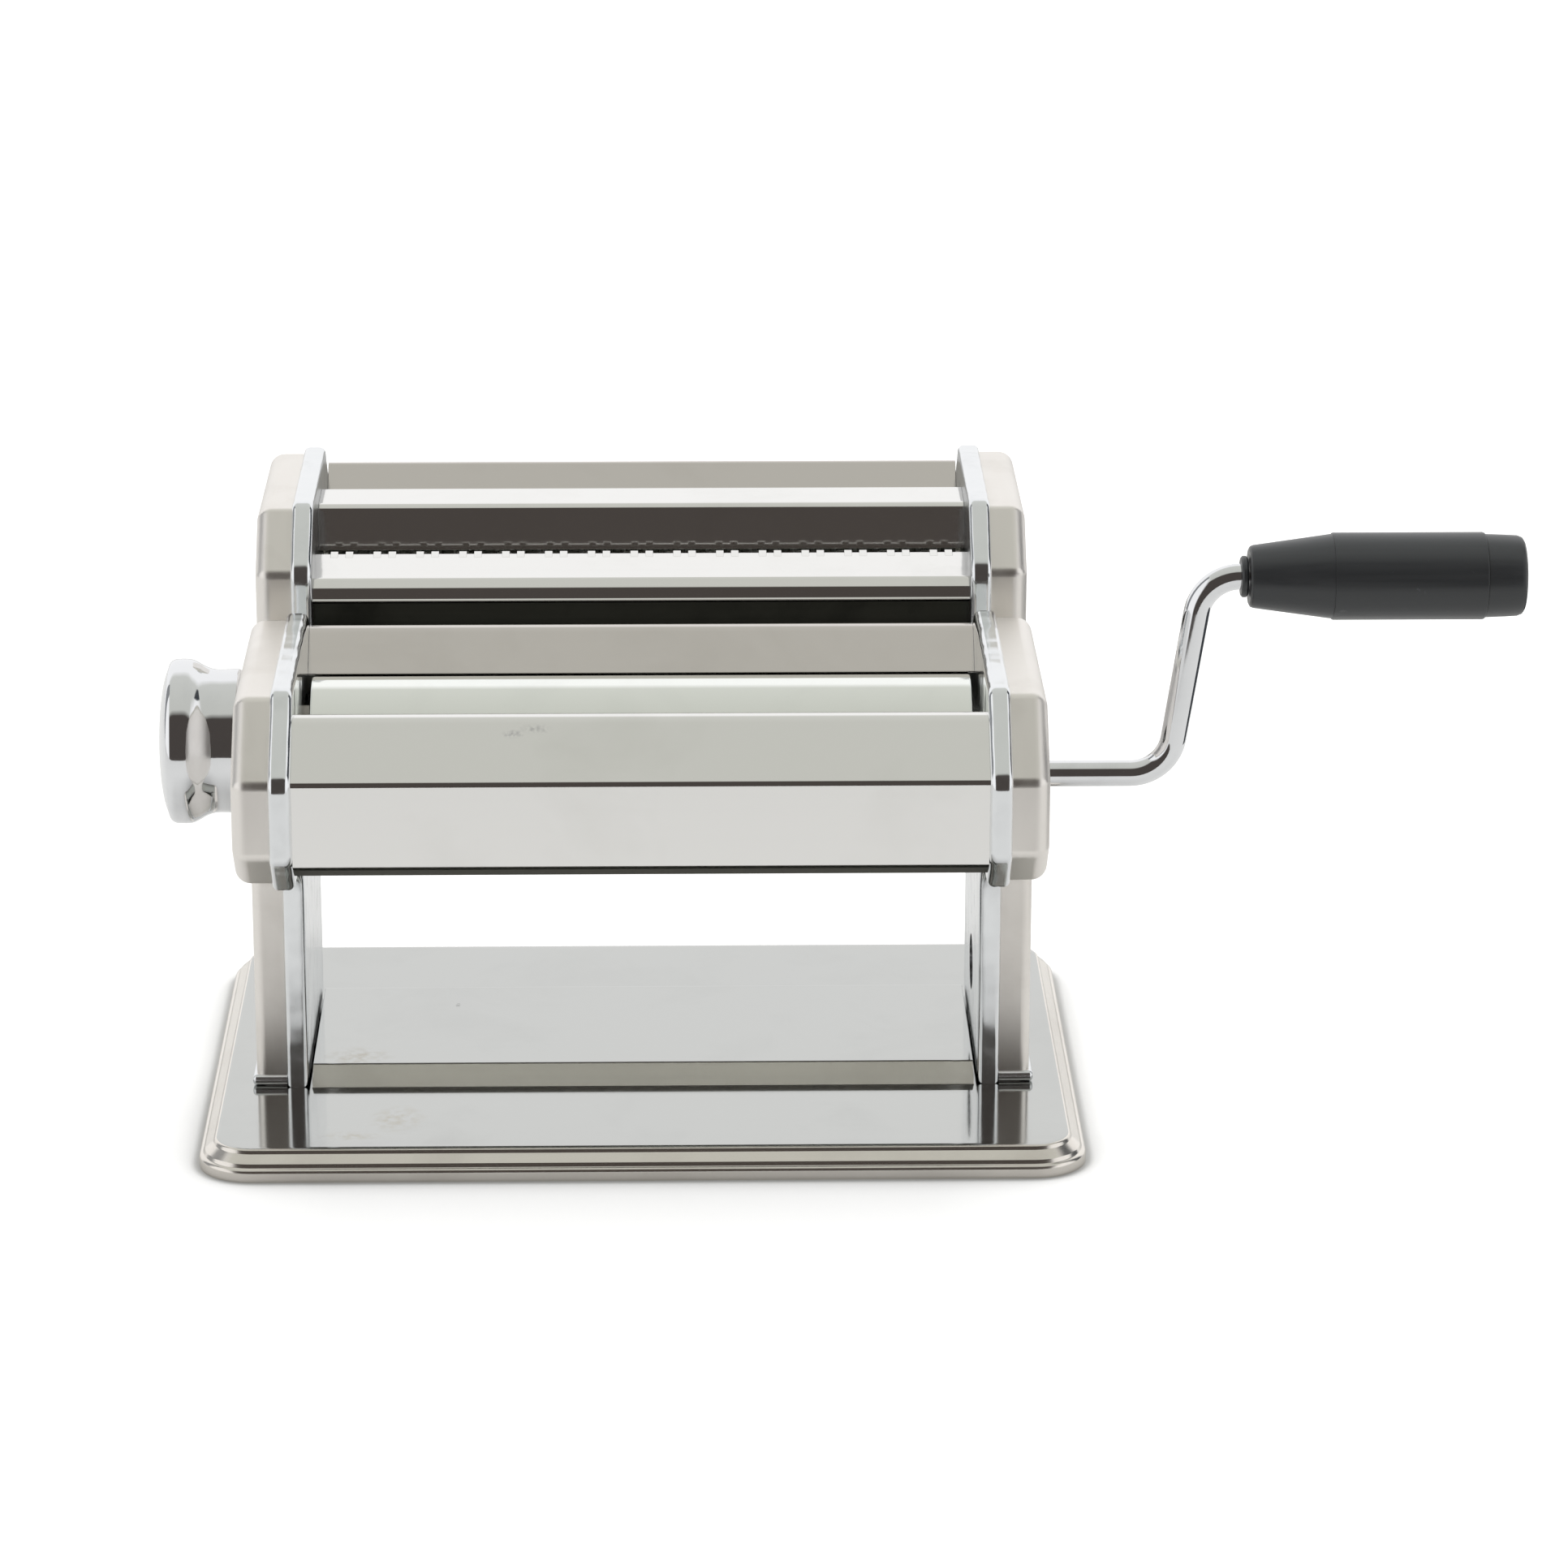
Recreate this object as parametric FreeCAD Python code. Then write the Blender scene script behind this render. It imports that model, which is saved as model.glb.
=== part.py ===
import FreeCAD
import Part
import math
import os

V = FreeCAD.Vector

# All lengths are in millimetres. X runs along the rollers to the crank, Y from the front of the
# base to the back, Z up from the table. Places are given from the middle of the flange gap (X),
# the base's front edge (Y) and the table (Z), and the finished parts move to the middle of the
# footprint at the end.

# Base pressing
base_margin = 9.55
base_depth = 138.7
base_corner = 12.0
base_sheet = 1.0
rim_step_height = 3.2
rim_step_inset = 3.0
plateau_height = 6.5
rim_round = 1.6

# Tray between the legs
tray_rise = 5.5
tray_sheet = 0.8
tray_end_gap = 0.7
tray_round = 2.4
tray_slope = 5.0

# Side frames of the roller unit
flange_gap = 152.0
frame_thickness = 5.0
lobe_front = 4.0
lobe_top = 107.5
lobe_chamfer = 16.4
under_chamfer = 9.5
unit_rear = 93.4
rear_chamfer = 12.7
outline_round = 4.0
leg_front = 41.0
leg_rear = 102.0
leg_fillet = 10.0

# Pressed side covers
cover_inset = 1.6
cover_depth = 8.3
cover_wall = 1.2
cover_round = 3.6
rim_share = 0.6
leg_cover_depth = 5.5
leg_cover_round = 2.4
foot_bead_height = 3.4
foot_bead_rise = 0.9

# Smooth rollers
roller_radius = 13.5
roller_end_gap = 1.3
roller_axis_y = 35.2
roller_axis_z = 82.8
nip_closed = 0.3
tube_bore = 9.0
hub_depth = 14.0
stub_radius = 5.5
running_clearance = 0.05

# Thickness adjuster
throw = 1.3
half_swing = 60.0
axle_radius = 5.5
journal_radius = 4.1
sleeve_wall = 1.45
sleeve_length = 14.0
rear_hub_wall = 1.75
hub_passage = 0.6

# Spur gears behind the left covers
roller_teeth = 13
cutter_teeth = 10
gear_width = 4.6
gear_gap = 1.0
gear_room = 0.95
roller_pressure_angle = 25.0
cutter_pressure_angle = 28.0
backlash = 0.34
roller_tooth_tip = 1.0
cutter_tooth_tip = 0.8
tooth_root = 1.25

# Bearing bushes
bush_wall = 2.0
bush_sides = 8
bush_shoulder = 0.7

# Setting knob
knob_gap = 1.2
knob_length = 18.6
knob_neck_radius = 16.3
knob_rim_radius = 18.7
knob_rim_length = 5.5
knob_waist_radius = 15.9
knob_waist_part = 0.4
knob_rim_bevel = 1.8
knob_cap_radius = 15.6
knob_cap_depth = 1.6
knob_dome = 0.7
knob_cavity_radius = 7.6
knob_travel = 4.0
key_width = 5.6
key_clearance = 0.08
thread_radius = 2.0
nut_height = 2.4
spring_wire = 0.8
spring_radius = 5.4
spring_solid = 2.6
key_end_reach = 0.5
setting_count = 9
index_ring = 12.4
index_pin_radius = 1.0
index_clearance = 0.3
index_hole_depth = 2.2
small_gap = 0.3

# Crank
rod_radius = 2.9
socket_clearance = 0.1
socket_depth = 10.0
tip_flats = 4.2
tip_length = 5.0
tip_clearance = 0.12
crank_lower_corner = 117.1
crank_upper_corner = 124.0
crank_throw = 45.5
crank_bend = 9.6

# Crank grip
grip_start = 134.1
grip_length = 60.8
grip_cone = 18.3
grip_nose_radius = 6.8
grip_radius = 9.75
grip_shoulder = 0.35
grip_end_radius = 9.2
grip_end_length = 8.8
grip_end_bevel = 1.8
collar_radius = 4.6
collar_length = 1.5
retainer_radius = 5.0
retainer_thickness = 1.0
rod_end_reach = 1.0
cap_socket_radius = 6.0
cap_socket_depth = 3.6

# Sheet-metal guides of the roller unit
sheet = 0.8
sheet_bend = 1.6
front_sheet_inset = 2.0
front_sheet_foot = 71.3
front_sheet_crease = 90.4
front_sheet_slope_run = 12.0
guide_top_y = 83.0
guide_top_z = 105.0
roller_sheet_gap = 1.5
rear_sheet_foot = 72.0
hem = 3.0

# Roller scrapers
scraper_thickness = 1.2
scraper_gap = 0.4
scraper_contact_angle = 20.0
scraper_run = 9.0
scraper_rise = 3.2
scraper_flat = 3.0
scraper_bend = 1.8

# Tie rods
tie_radius = 3.3
stud_radius = 2.4
tie_nut_flats = 8.0
tie_nut_height = 3.0
front_tie_y = 13.6
front_tie_z = 80.0
rear_tie_y = 87.0
rear_tie_z = 84.0

# Leg screws under the base
screw_radius = 1.6
screw_grip = 12.0
screw_head_radius = 3.0
screw_head_height = 1.8
screw_end_inset = 12.0

# Clamp hole in the right leg
clamp_radius = 6.5
clamp_z = 25.1
clamp_boss_wall = 2.5
clamp_boss_depth = 3.8

# Cutter unit
unit_gap = 0.3
cutter_depth = 77.7
cutter_top = 126.1
cutter_under = 75.0
cutter_chamfer = 13.3
cutter_axis_z = 100.5
cutter_pair_distance = 15.0
cutter_inner_gap = 0.6
disc_radius = 8.5
core_radius = 6.1
disc_clearance = 0.16
wide_strip = 5.0
narrow_strip = 2.5
wide_sides = 8
narrow_sides = 6
cutter_stub = 3.6
cutter_socket_stub = 5.2
cutter_front_inset = 2.0
cutter_lip_foot = 105.6
cutter_wall_inset = 1.4
cutter_wall_foot = 94.8
cutter_lip_lean = 1.0
cutter_lip_rise = 2.7
cutter_brow = 1.9
cutter_table_depth = 11.6
cutter_table_rise = 1.0
cutter_table_lip = 1.6
cutter_sheet_bend = 0.9
ridge_width = 15.5
ridge_top = 120.6
ridge_foot = 110.0
ridge_lean = 1.8
rear_guide_inset = 3.8
rear_guide_z = 120.1
cutter_rear_foot = 84.0
cutter_sheet_gap = 1.0
cutter_tie_radius = 3.2
cutter_front_tie_y = 99.6
cutter_front_tie_z = 89.6
cutter_rear_tie_y = 164.8
cutter_rear_tie_z = 90.6
comb_thickness = 1.8
comb_outward = 2.5
comb_inward = 1.7

# Hooks that carry the cutter unit
hook_thickness = 4.5
hook_slot_clearance = 0.3
hook_wall = 2.2
hook_lip = 4.0
hook_corner = 2.0

# Flat faces round the pieces that need no true round, few enough to keep the model light
knob_sides = 32
grip_sides = 24
bar_sides = 12

# Sizes that follow
inner_x = flange_gap / 2
outer_x = inner_x + frame_thickness
cover_x = outer_x + cover_depth
base_width = 2 * (cover_x + base_margin)
roller_length = flange_gap - 2 * roller_end_gap
half_turn = math.radians(half_swing)
axle_y = roller_axis_y + 2 * roller_radius + nip_closed + throw * math.sin(half_turn)
axle_z = roller_axis_z - throw * math.cos(half_turn)
rear_roller_y = axle_y + throw * math.sin(half_turn)
sleeve_radius = axle_radius + running_clearance + sleeve_wall
rear_bore = sleeve_radius + running_clearance
rear_hub_radius = rear_bore + rear_hub_wall
hub_hole_radius = rear_hub_radius + throw * math.sin(half_turn) + hub_passage
hub_hole_z = roller_axis_z + throw * (1 - math.cos(half_turn)) / 2
gear_x = outer_x + gear_gap
roller_distance = 2 * roller_radius + nip_closed
gear_tip_radius = roller_distance * (0.5 + roller_tooth_tip / roller_teeth)
lobe_under = roller_axis_z - gear_tip_radius - gear_room - cover_wall - cover_inset
leg_middle = (leg_front + leg_rear) / 2
cutter_front = unit_rear + unit_gap
cutter_rear = cutter_front + cutter_depth
cutter_middle = (cutter_front + cutter_rear) / 2
rear_guide_y = cutter_rear - rear_guide_inset
inner_offset = disc_radius + cutter_inner_gap / 2
outer_offset = inner_offset + cutter_pair_distance
knob_back_x = cover_x + knob_gap
knob_end_x = knob_back_x + knob_length
knob_cap_x = knob_end_x - knob_cap_depth
nut_end_x = knob_cap_x - 2 * small_gap
nut_face_x = nut_end_x - nut_height
knob_floor_x = nut_face_x - knob_travel - spring_solid
grip_end_x = grip_start + grip_length
crank_z = roller_axis_z + crank_throw
stub_end_x = cover_x - small_gap

# The machine moves so that its footprint's middle is the origin.
place = V((knob_end_x - grip_end_x) / 2, -cutter_rear / 2, 0)


def cut_corner(before, corner, after, radius):
    """The two tangent points and the middle point of an arc that rounds a corner."""
    back = (before - corner).normalize()
    ahead = (after - corner).normalize()
    half = back.getAngle(ahead) / 2
    run = radius / math.tan(half)
    middle = (back + ahead).normalize() * (radius / math.sin(half) - radius)
    return corner + back * run, corner + middle, corner + ahead * run


def rounded_wire(corners, to_point):
    """A closed wire through (a, b, radius) corners, with an arc at each rounded one."""
    points = [to_point(a, b) for a, b, radius in corners]
    stops = []
    for i, corner in enumerate(corners):
        before = points[i - 1]
        after = points[(i + 1) % len(points)]
        if corner[2] > 0:
            stops.append(cut_corner(before, points[i], after, corner[2]))
        else:
            stops.append((points[i], None, points[i]))
    edges = []
    for i, (start, middle, end) in enumerate(stops):
        if middle is not None:
            edges.append(Part.Arc(start, middle, end).toShape())
        following = stops[(i + 1) % len(stops)][0]
        if end.distanceToPoint(following) > 1e-6:
            edges.append(Part.LineSegment(end, following).toShape())
    return Part.Wire(edges)


def side_plate(corners, x, thickness):
    """An outline in (y, z) made into a plate from x outward."""
    wire = rounded_wire(corners, lambda y, z: V(x, y, z))
    return Part.Face(wire).extrude(V(thickness, 0, 0))


def corners_round(x, radius, sides, y, z):
    """The corners of a regular section across X."""
    turns = [2 * math.pi * (i + 0.5) / sides for i in range(sides)]
    return [V(x, y + radius * math.cos(t), z + radius * math.sin(t)) for t in turns]


def loop(points):
    """A closed line through the points."""
    return Part.makePolygon(points + points[:1])


def turned(profile, sides, y, z):
    """A profile of (x, radius) points about the X axis through (y, z), in flat faces."""
    rows = [corners_round(x, radius, sides, y, z) for x, radius in profile]
    panels = [rows[0], rows[-1]]
    for near, far in zip(rows, rows[1:]):
        panels += [[near[i - 1], near[i], far[i], far[i - 1]] for i in range(sides)]
    shell = Part.Shell([Part.Face(loop(panel)) for panel in panels])
    shell.sewShape()
    solid = Part.Solid(shell)
    return solid if solid.Volume > 0 else solid.reversed()


def rod(x0, x1, radius, y, z, sides=bar_sides):
    """A bar along X that fits inside its radius."""
    return Part.Face(loop(corners_round(x0, radius, sides, y, z))).extrude(V(x1 - x0, 0, 0))


def round_bar(x0, x1, radius, y, z):
    """A truly round bar along X, for rollers, bearings and the holes that other things fit."""
    return Part.makeCylinder(radius, x1 - x0, V(x0, y, z), V(1, 0, 0))


def prism(x0, x1, flats, sides, y, z):
    """A bar along X with a regular section, sized across its flats."""
    return rod(x0, x1, flats / 2 / math.cos(math.pi / sides), y, z, sides)


def bore(x0, x1, radius, y, z, sides=bar_sides):
    """The room for a bar of this radius that turns."""
    return prism(x0, x1, 2 * radius, sides, y, z)


def collar(x0, x1, outer, inner, y, z):
    """A sleeve along X that is fixed on a bar of its inner radius."""
    return rod(x0, x1, outer, y, z).cut(rod(x0, x1, inner, y, z))


def upright(x, y, z0, z1, radius):
    """A six-sided bar along Z."""
    turns = [math.pi * i / 3 for i in range(6)]
    points = [V(x + radius * math.cos(t), y + radius * math.sin(t), z0) for t in turns]
    return Part.Face(Part.makePolygon(points + points[:1])).extrude(V(0, 0, z1 - z0))


def mirrored(shape):
    """The same piece on the left of the machine."""
    return shape.mirror(V(0, 0, 0), V(1, 0, 0))


def inset(corners, distance):
    """An outline moved inward by a distance, its corner radii following."""
    area = 0
    for i, (y, z, radius) in enumerate(corners):
        area += corners[i - 1][0] * z - y * corners[i - 1][1]
    side = 1 if area > 0 else -1
    moved = []
    for i, (y, z, radius) in enumerate(corners):
        before = corners[i - 1]
        after = corners[(i + 1) % len(corners)]
        into = V(y - before[0], z - before[1], 0).normalize()
        out = V(after[0] - y, after[1] - z, 0).normalize()
        turn = into.cross(out).z * side
        half = (V(-into.y, into.x, 0) + V(-out.y, out.x, 0)) * side
        shift = half * (distance / (1 + into.dot(out)))
        kept = radius - distance if turn > 0 else radius + distance
        moved.append((y + shift.x, z + shift.y, max(kept, 0) if radius > 0 else 0))
    return moved


def square(corners):
    """An outline with its corners left sharp, for the unseen inside of a pressing."""
    return [(y, z, 0) for y, z, radius in corners]


def rim_edges(shape, x):
    """The edges of a plate that lie in one X plane."""
    return [e for e in shape.Edges if abs(e.BoundBox.XMin - x) < 1e-6 and abs(e.BoundBox.XMax - x) < 1e-6]


def cap(corners, x, depth, rounding, below=None):
    """A plate with its outer rim turned over, as a pressed cover is, or only the rim below a height."""
    solid = side_plate(corners, x, depth)
    edges = rim_edges(solid, x + depth)
    if below is not None:
        upright = [e for e in edges if e.BoundBox.ZLength > rounding]
        edges = [e for e in upright if e.BoundBox.ZMin < below - rounding]
    return solid.makeChamfer(rounding * rim_share, edges)


def folded_sheet(path, thickness, bend, half_width):
    """A bent sheet: its outer line in (y, z), its thickness to the right of that line."""
    inner = []
    for i, (y, z) in enumerate(path):
        before = path[max(i - 1, 0)]
        after = path[min(i + 1, len(path) - 1)]
        into = V(y - before[0], z - before[1], 0) if i > 0 else V(after[0] - y, after[1] - z, 0)
        out = V(after[0] - y, after[1] - z, 0) if i < len(path) - 1 else into
        into.normalize()
        out.normalize()
        sum_normals = V(into.y, -into.x, 0) + V(out.y, -out.x, 0)
        shift = sum_normals * (thickness / (1 + into.dot(out)))
        inner.append((y + shift.x, z + shift.y))
    corners = []
    for i, (y, z) in enumerate(path):
        corners.append((y, z, fold_radius(path, i, bend, thickness, True)))
    for i in range(len(inner) - 1, -1, -1):
        corners.append((*inner[i], fold_radius(path, i, bend, thickness, False)))
    return side_plate(corners, -half_width, 2 * half_width)


def fold_radius(path, i, bend, thickness, outside):
    """The radius of one fold on the sheet's outer or inner face."""
    if i == 0 or i == len(path) - 1:
        return 0
    into = V(path[i][0] - path[i - 1][0], path[i][1] - path[i - 1][1], 0)
    out = V(path[i + 1][0] - path[i][0], path[i + 1][1] - path[i][1], 0)
    turns_right = into.cross(out).z < 0
    return bend if turns_right == outside else bend - thickness


def gear(teeth, distance, pressure, tip, root, shaft, x0, y, z, phase):
    """A spur gear with involute flanks for one centre distance, a tooth at the phase angle."""
    pitch_radius = distance / 2
    module = distance / teeth
    base = pitch_radius * math.cos(math.radians(pressure))
    start = math.pi / (2 * teeth) - backlash / (2 * pitch_radius)
    involute = math.tan(math.radians(pressure)) - math.radians(pressure)
    outer = pitch_radius + tip * module
    inner = pitch_radius - root * module

    def half_angle(radius):
        if radius <= base:
            return start + involute
        angle = math.acos(base / radius)
        return start + involute - (math.tan(angle) - angle)

    radii = [inner, pitch_radius, outer]
    points = []
    for tooth in range(teeth):
        centre = phase + 2 * math.pi * tooth / teeth
        for radius in radii:
            angle = centre - half_angle(radius)
            points.append(V(x0, y + radius * math.cos(angle), z + radius * math.sin(angle)))
        for radius in reversed(radii):
            angle = centre + half_angle(radius)
            points.append(V(x0, y + radius * math.cos(angle), z + radius * math.sin(angle)))
    wheel = Part.Face(Part.makePolygon(points + points[:1])).extrude(V(gear_width, 0, 0))
    return wheel.cut(rod(x0, x0 + gear_width, shaft, y, z))


def bush_seat(x0, x1, inner, y, z):
    """The eight-sided block that a bearing bush is, before it is bored."""
    return prism(x0, x1, 2 * (inner + bush_wall), bush_sides, y, z)


def bush(x0, x1, inner, y, z):
    """A bearing bush: an eight-sided block with its bore."""
    return bush_seat(x0, x1, inner, y, z).cut(bore(x0, x1, inner, y, z))


def frame_outline():
    """The roller unit's side frame: an eight-sided lobe on a broad leg."""
    seat = cutter_front + cutter_under + cutter_chamfer - unit_gap * math.sqrt(2)
    big = outline_round
    return [
        (lobe_front, lobe_under + under_chamfer, big),
        (lobe_front, lobe_top - lobe_chamfer, big),
        (lobe_front + lobe_chamfer, lobe_top, big),
        (unit_rear - rear_chamfer, lobe_top, big),
        (unit_rear, lobe_top - rear_chamfer, 0),
        (unit_rear, seat - unit_rear, 0),
        (leg_rear, seat - leg_rear, big),
        (leg_rear, plateau_height, 0),
        (leg_front, plateau_height, 0),
        (leg_front, lobe_under, leg_fillet),
        (lobe_front + under_chamfer, lobe_under, big),
    ]


def lobe_outline():
    """The part of the side frame above the leg, which the cover's deep bowl follows."""
    corners = frame_outline()
    upper = corners[:6]
    y, z, radius = corners[6]
    rear = [(unit_rear, corners[5][1], outline_round), (y, z, radius), (y, lobe_under, outline_round)]
    upper[4] = (unit_rear, corners[4][1], outline_round)
    return upper[:5] + rear + [corners[10]]


def leg_outline(foot):
    """The leg with its flare into the lobe."""
    reach = leg_front - leg_fillet - outline_round
    inside = lobe_under + 2 * outline_round
    return [
        (leg_front, foot, 0),
        (leg_front, lobe_under, leg_fillet),
        (reach, lobe_under, 0),
        (reach, inside, 0),
        (leg_rear, inside, 0),
        (leg_rear, foot, 0),
    ]


def cutter_outline():
    """The cutter unit's eight-sided flange."""
    big = outline_round
    low = cutter_under + cutter_chamfer
    high = cutter_top - cutter_chamfer
    return [
        (cutter_front, low, big),
        (cutter_front, high, big),
        (cutter_front + cutter_chamfer, cutter_top, big),
        (cutter_rear - cutter_chamfer, cutter_top, big),
        (cutter_rear, high, big),
        (cutter_rear, low, big),
        (cutter_rear - cutter_chamfer, cutter_under, big),
        (cutter_front + cutter_chamfer, cutter_under, big),
    ]


def base_plate():
    """A pressed base with a stepped rim, open below."""

    def slab(margin, z0, z1):
        x = base_width / 2 - margin
        corner = base_corner - margin
        corners = [
            (-x, margin, corner),
            (x, margin, corner),
            (x, base_depth - margin, corner),
            (-x, base_depth - margin, corner),
        ]
        wire = rounded_wire(corners, lambda a, b: V(a, b, z0))
        return Part.Face(wire).extrude(V(0, 0, z1 - z0))

    def softened(block, top):
        edges = [e for e in block.Edges if abs(e.BoundBox.ZMin - top) < 1e-6]
        return block.makeChamfer(rim_round, edges)

    lower = softened(slab(0, 0, rim_step_height), rim_step_height)
    upper = softened(slab(rim_step_inset, 0, plateau_height), plateau_height)
    hollow = slab(base_sheet, 0, rim_step_height - base_sheet)
    hollow = hollow.fuse(slab(rim_step_inset + base_sheet, 0, plateau_height - base_sheet))
    plate = lower.fuse(upper).removeSplitter().cut(hollow)
    for x, y in leg_screw_places():
        plate = plate.cut(upright(x, y, 0, plateau_height, screw_radius))
    return plate


def leg_screw_places():
    """Where the screws come up through the base into the legs."""
    x = inner_x + frame_thickness / 2
    return [(s * x, y) for s in (-1, 1) for y in (leg_front + screw_end_inset, leg_rear - screw_end_inset)]


def leg_screws():
    """Screws that hold the legs to the base, their heads inside the pressing."""
    under = plateau_height - base_sheet
    solids = []
    for x, y in leg_screw_places():
        head = upright(x, y, under - screw_head_height, under, screw_head_radius)
        shank = upright(x, y, under, plateau_height + screw_grip, screw_radius)
        solids.append(head.fuse(shank).removeSplitter())
    return Part.makeCompound(solids)


def base_tray():
    """The raised sheet between the legs, sloped at its front and back, which ties them across the base."""
    top = plateau_height + tray_rise
    foot = plateau_height + tray_sheet * tray_slope / math.hypot(tray_slope, tray_rise - tray_sheet)
    path = [
        (leg_front, foot),
        (leg_front + tray_slope, top),
        (leg_rear - tray_slope, top),
        (leg_rear, foot),
    ]
    return folded_sheet(path, tray_sheet, tray_round, inner_x - tray_end_gap)


def side_frame():
    """The right side frame before its holes are cut."""
    return side_plate(frame_outline(), inner_x, frame_thickness)


def frame_holes(frame, extra):
    """The tie rod, front roller and leg screw holes that both frames have."""
    for y, z in ((front_tie_y, front_tie_z), (rear_tie_y, rear_tie_z)):
        frame = frame.cut(rod(inner_x, outer_x, stud_radius, y, z))
    inner = stub_radius + running_clearance
    frame = frame.cut(bush_seat(inner_x, outer_x, inner, roller_axis_y, roller_axis_z))
    for x, y in leg_screw_places():
        frame = frame.cut(upright(abs(x), y, plateau_height, plateau_height + screw_grip, screw_radius))
    return frame.cut(extra)


def left_frame():
    passage = bore(inner_x, outer_x, hub_hole_radius, axle_y, hub_hole_z)
    return mirrored(frame_holes(side_frame(), passage))


def right_frame():
    """The right side frame, with the clamp's boss on its leg."""
    end = outer_x + clamp_boss_depth
    boss = rod(outer_x, end, clamp_radius + clamp_boss_wall, leg_middle, clamp_z, grip_sides)
    frame = side_frame().fuse(boss).removeSplitter()
    frame = frame.cut(round_bar(inner_x, end, clamp_radius, leg_middle, clamp_z))
    inner = journal_radius + running_clearance
    return frame_holes(frame, bush_seat(inner_x, outer_x, inner, axle_y, axle_z))


def side_cover():
    """A pressed cover: a deep bowl over the lobe, shallower over the leg, a bead at its foot."""
    bowl = cap(inset(lobe_outline(), cover_inset), outer_x, cover_depth, cover_round)
    leg_corners = inset(leg_outline(plateau_height - cover_inset), cover_inset)
    leg = cap(leg_corners, outer_x, leg_cover_depth, leg_cover_round, lobe_under)
    front = leg_front + cover_inset - foot_bead_rise
    rear = leg_rear - cover_inset + foot_bead_rise
    bead_top = plateau_height + foot_bead_height
    foot = plateau_height
    corners = [(front, foot, 0), (front, bead_top, 0), (rear, bead_top, 0), (rear, foot, 0)]
    bead = side_plate(corners, outer_x, leg_cover_depth + foot_bead_rise)
    margin = cover_inset + cover_wall
    hollow = side_plate(square(inset(lobe_outline(), margin)), outer_x, cover_depth - cover_wall)
    leg_hollow = square(inset(leg_outline(plateau_height - margin), margin))
    hollow = hollow.fuse(side_plate(leg_hollow, outer_x, leg_cover_depth - cover_wall))
    return bowl.fuse([leg, bead]).removeSplitter().cut(hollow)


def left_cover():
    seat = bush_seat(outer_x, cover_x, journal_radius + running_clearance, axle_y, axle_z)
    return mirrored(side_cover().cut(seat))


def right_cover():
    """The right cover, open where the crank goes into the roller."""
    hole = stub_radius + 2 * cover_wall
    return side_cover().cut(bore(outer_x, cover_x, hole, roller_axis_y, roller_axis_z, grip_sides))


def front_sheet():
    """The front plate: upright below, sloping back above, hemmed at both edges."""
    y = lobe_front + front_sheet_inset
    top_y = y + front_sheet_slope_run
    top_z = front_sheet_crease + front_sheet_slope_run
    path = [
        (y + 2 * hem, front_sheet_foot),
        (y, front_sheet_foot),
        (y, front_sheet_crease),
        (top_y, top_z),
        (top_y + hem, top_z - hem),
    ]
    return folded_sheet(path, sheet, sheet_bend, inner_x)


def rear_sheet():
    """The dough guide behind the rollers, folded over and down as the unit's back."""
    centre_y = rear_roller_y
    reach = roller_radius + roller_sheet_gap + throw
    middle = ((guide_top_y - centre_y) + (guide_top_z - roller_axis_z)) / 2
    skew = ((guide_top_z - roller_axis_z) - (guide_top_y - centre_y)) / 2
    run = middle - math.sqrt(reach ** 2 / 2 - skew ** 2)
    rear = unit_rear - front_sheet_inset
    drop = rear - guide_top_y
    path = [
        (guide_top_y - run, guide_top_z - run),
        (guide_top_y, guide_top_z),
        (rear, guide_top_z - drop),
        (rear, rear_sheet_foot),
        (rear - 2 * hem, rear_sheet_foot),
    ]
    plate = folded_sheet(path, sheet, sheet_bend, inner_x)
    z0, z1 = hook_span()
    for side in (-1, 1):
        x = side * inner_x
        width = hook_thickness + hook_slot_clearance
        notch = Part.makeBox(width, 2 * hem, z1 - z0 + 2 * hook_slot_clearance)
        notch.translate(V(x - width if side > 0 else x, rear - hem, z0 - hook_slot_clearance))
        plate = plate.cut(notch)
    return plate


def scraper(centre_y, side):
    """A thin blade across the unit that lifts the dough off a roller's underside."""
    angle = math.radians(scraper_contact_angle)
    reach = roller_radius + scraper_gap
    y = centre_y + side * reach * math.sin(angle)
    z = roller_axis_z - reach * math.cos(angle)
    low = z - scraper_rise
    fold = y + side * scraper_run
    path = [(y, z), (fold, low), (fold + side * scraper_flat, low)]
    if side < 0:
        path.reverse()
    return folded_sheet(path, scraper_thickness, scraper_bend, inner_x)


def tie_rods(places, radius):
    """Spacer bars between two frames, each with a stud through both."""
    solids = []
    for y, z in places:
        bar = rod(-inner_x, inner_x, radius, y, z)
        stud = rod(-outer_x, outer_x, stud_radius, y, z)
        solids.append(bar.fuse(stud).removeSplitter())
    return Part.makeCompound(solids)


def tie_nuts(places):
    """Cap nuts on the tie rods' ends, inside the covers."""
    solids = []
    for y, z in places:
        nut = prism(outer_x, outer_x + tie_nut_height, tie_nut_flats, 6, y, z)
        solids += [nut, mirrored(nut)]
    return Part.makeCompound(solids)


def roller_bushes():
    """The front roller's bearing bushes, one in each frame."""
    one = bush(inner_x, outer_x, stub_radius + running_clearance, roller_axis_y, roller_axis_z)
    return Part.makeCompound([one, mirrored(one)])


def axle_bushes():
    """The adjuster axle's bushes: in the right frame, and in the left cover's face."""
    inner = journal_radius + running_clearance
    right = bush(inner_x, outer_x, inner, axle_y, axle_z)
    left = bush(cover_x - cover_wall - bush_shoulder, cover_x, inner, axle_y, axle_z)
    return Part.makeCompound([right, mirrored(left)])


def front_roller():
    """The fixed roller's tube."""
    half = roller_length / 2
    tube = round_bar(-half, half, roller_radius, roller_axis_y, roller_axis_z)
    return tube.cut(rod(-half, half, tube_bore, roller_axis_y, roller_axis_z))


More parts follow.
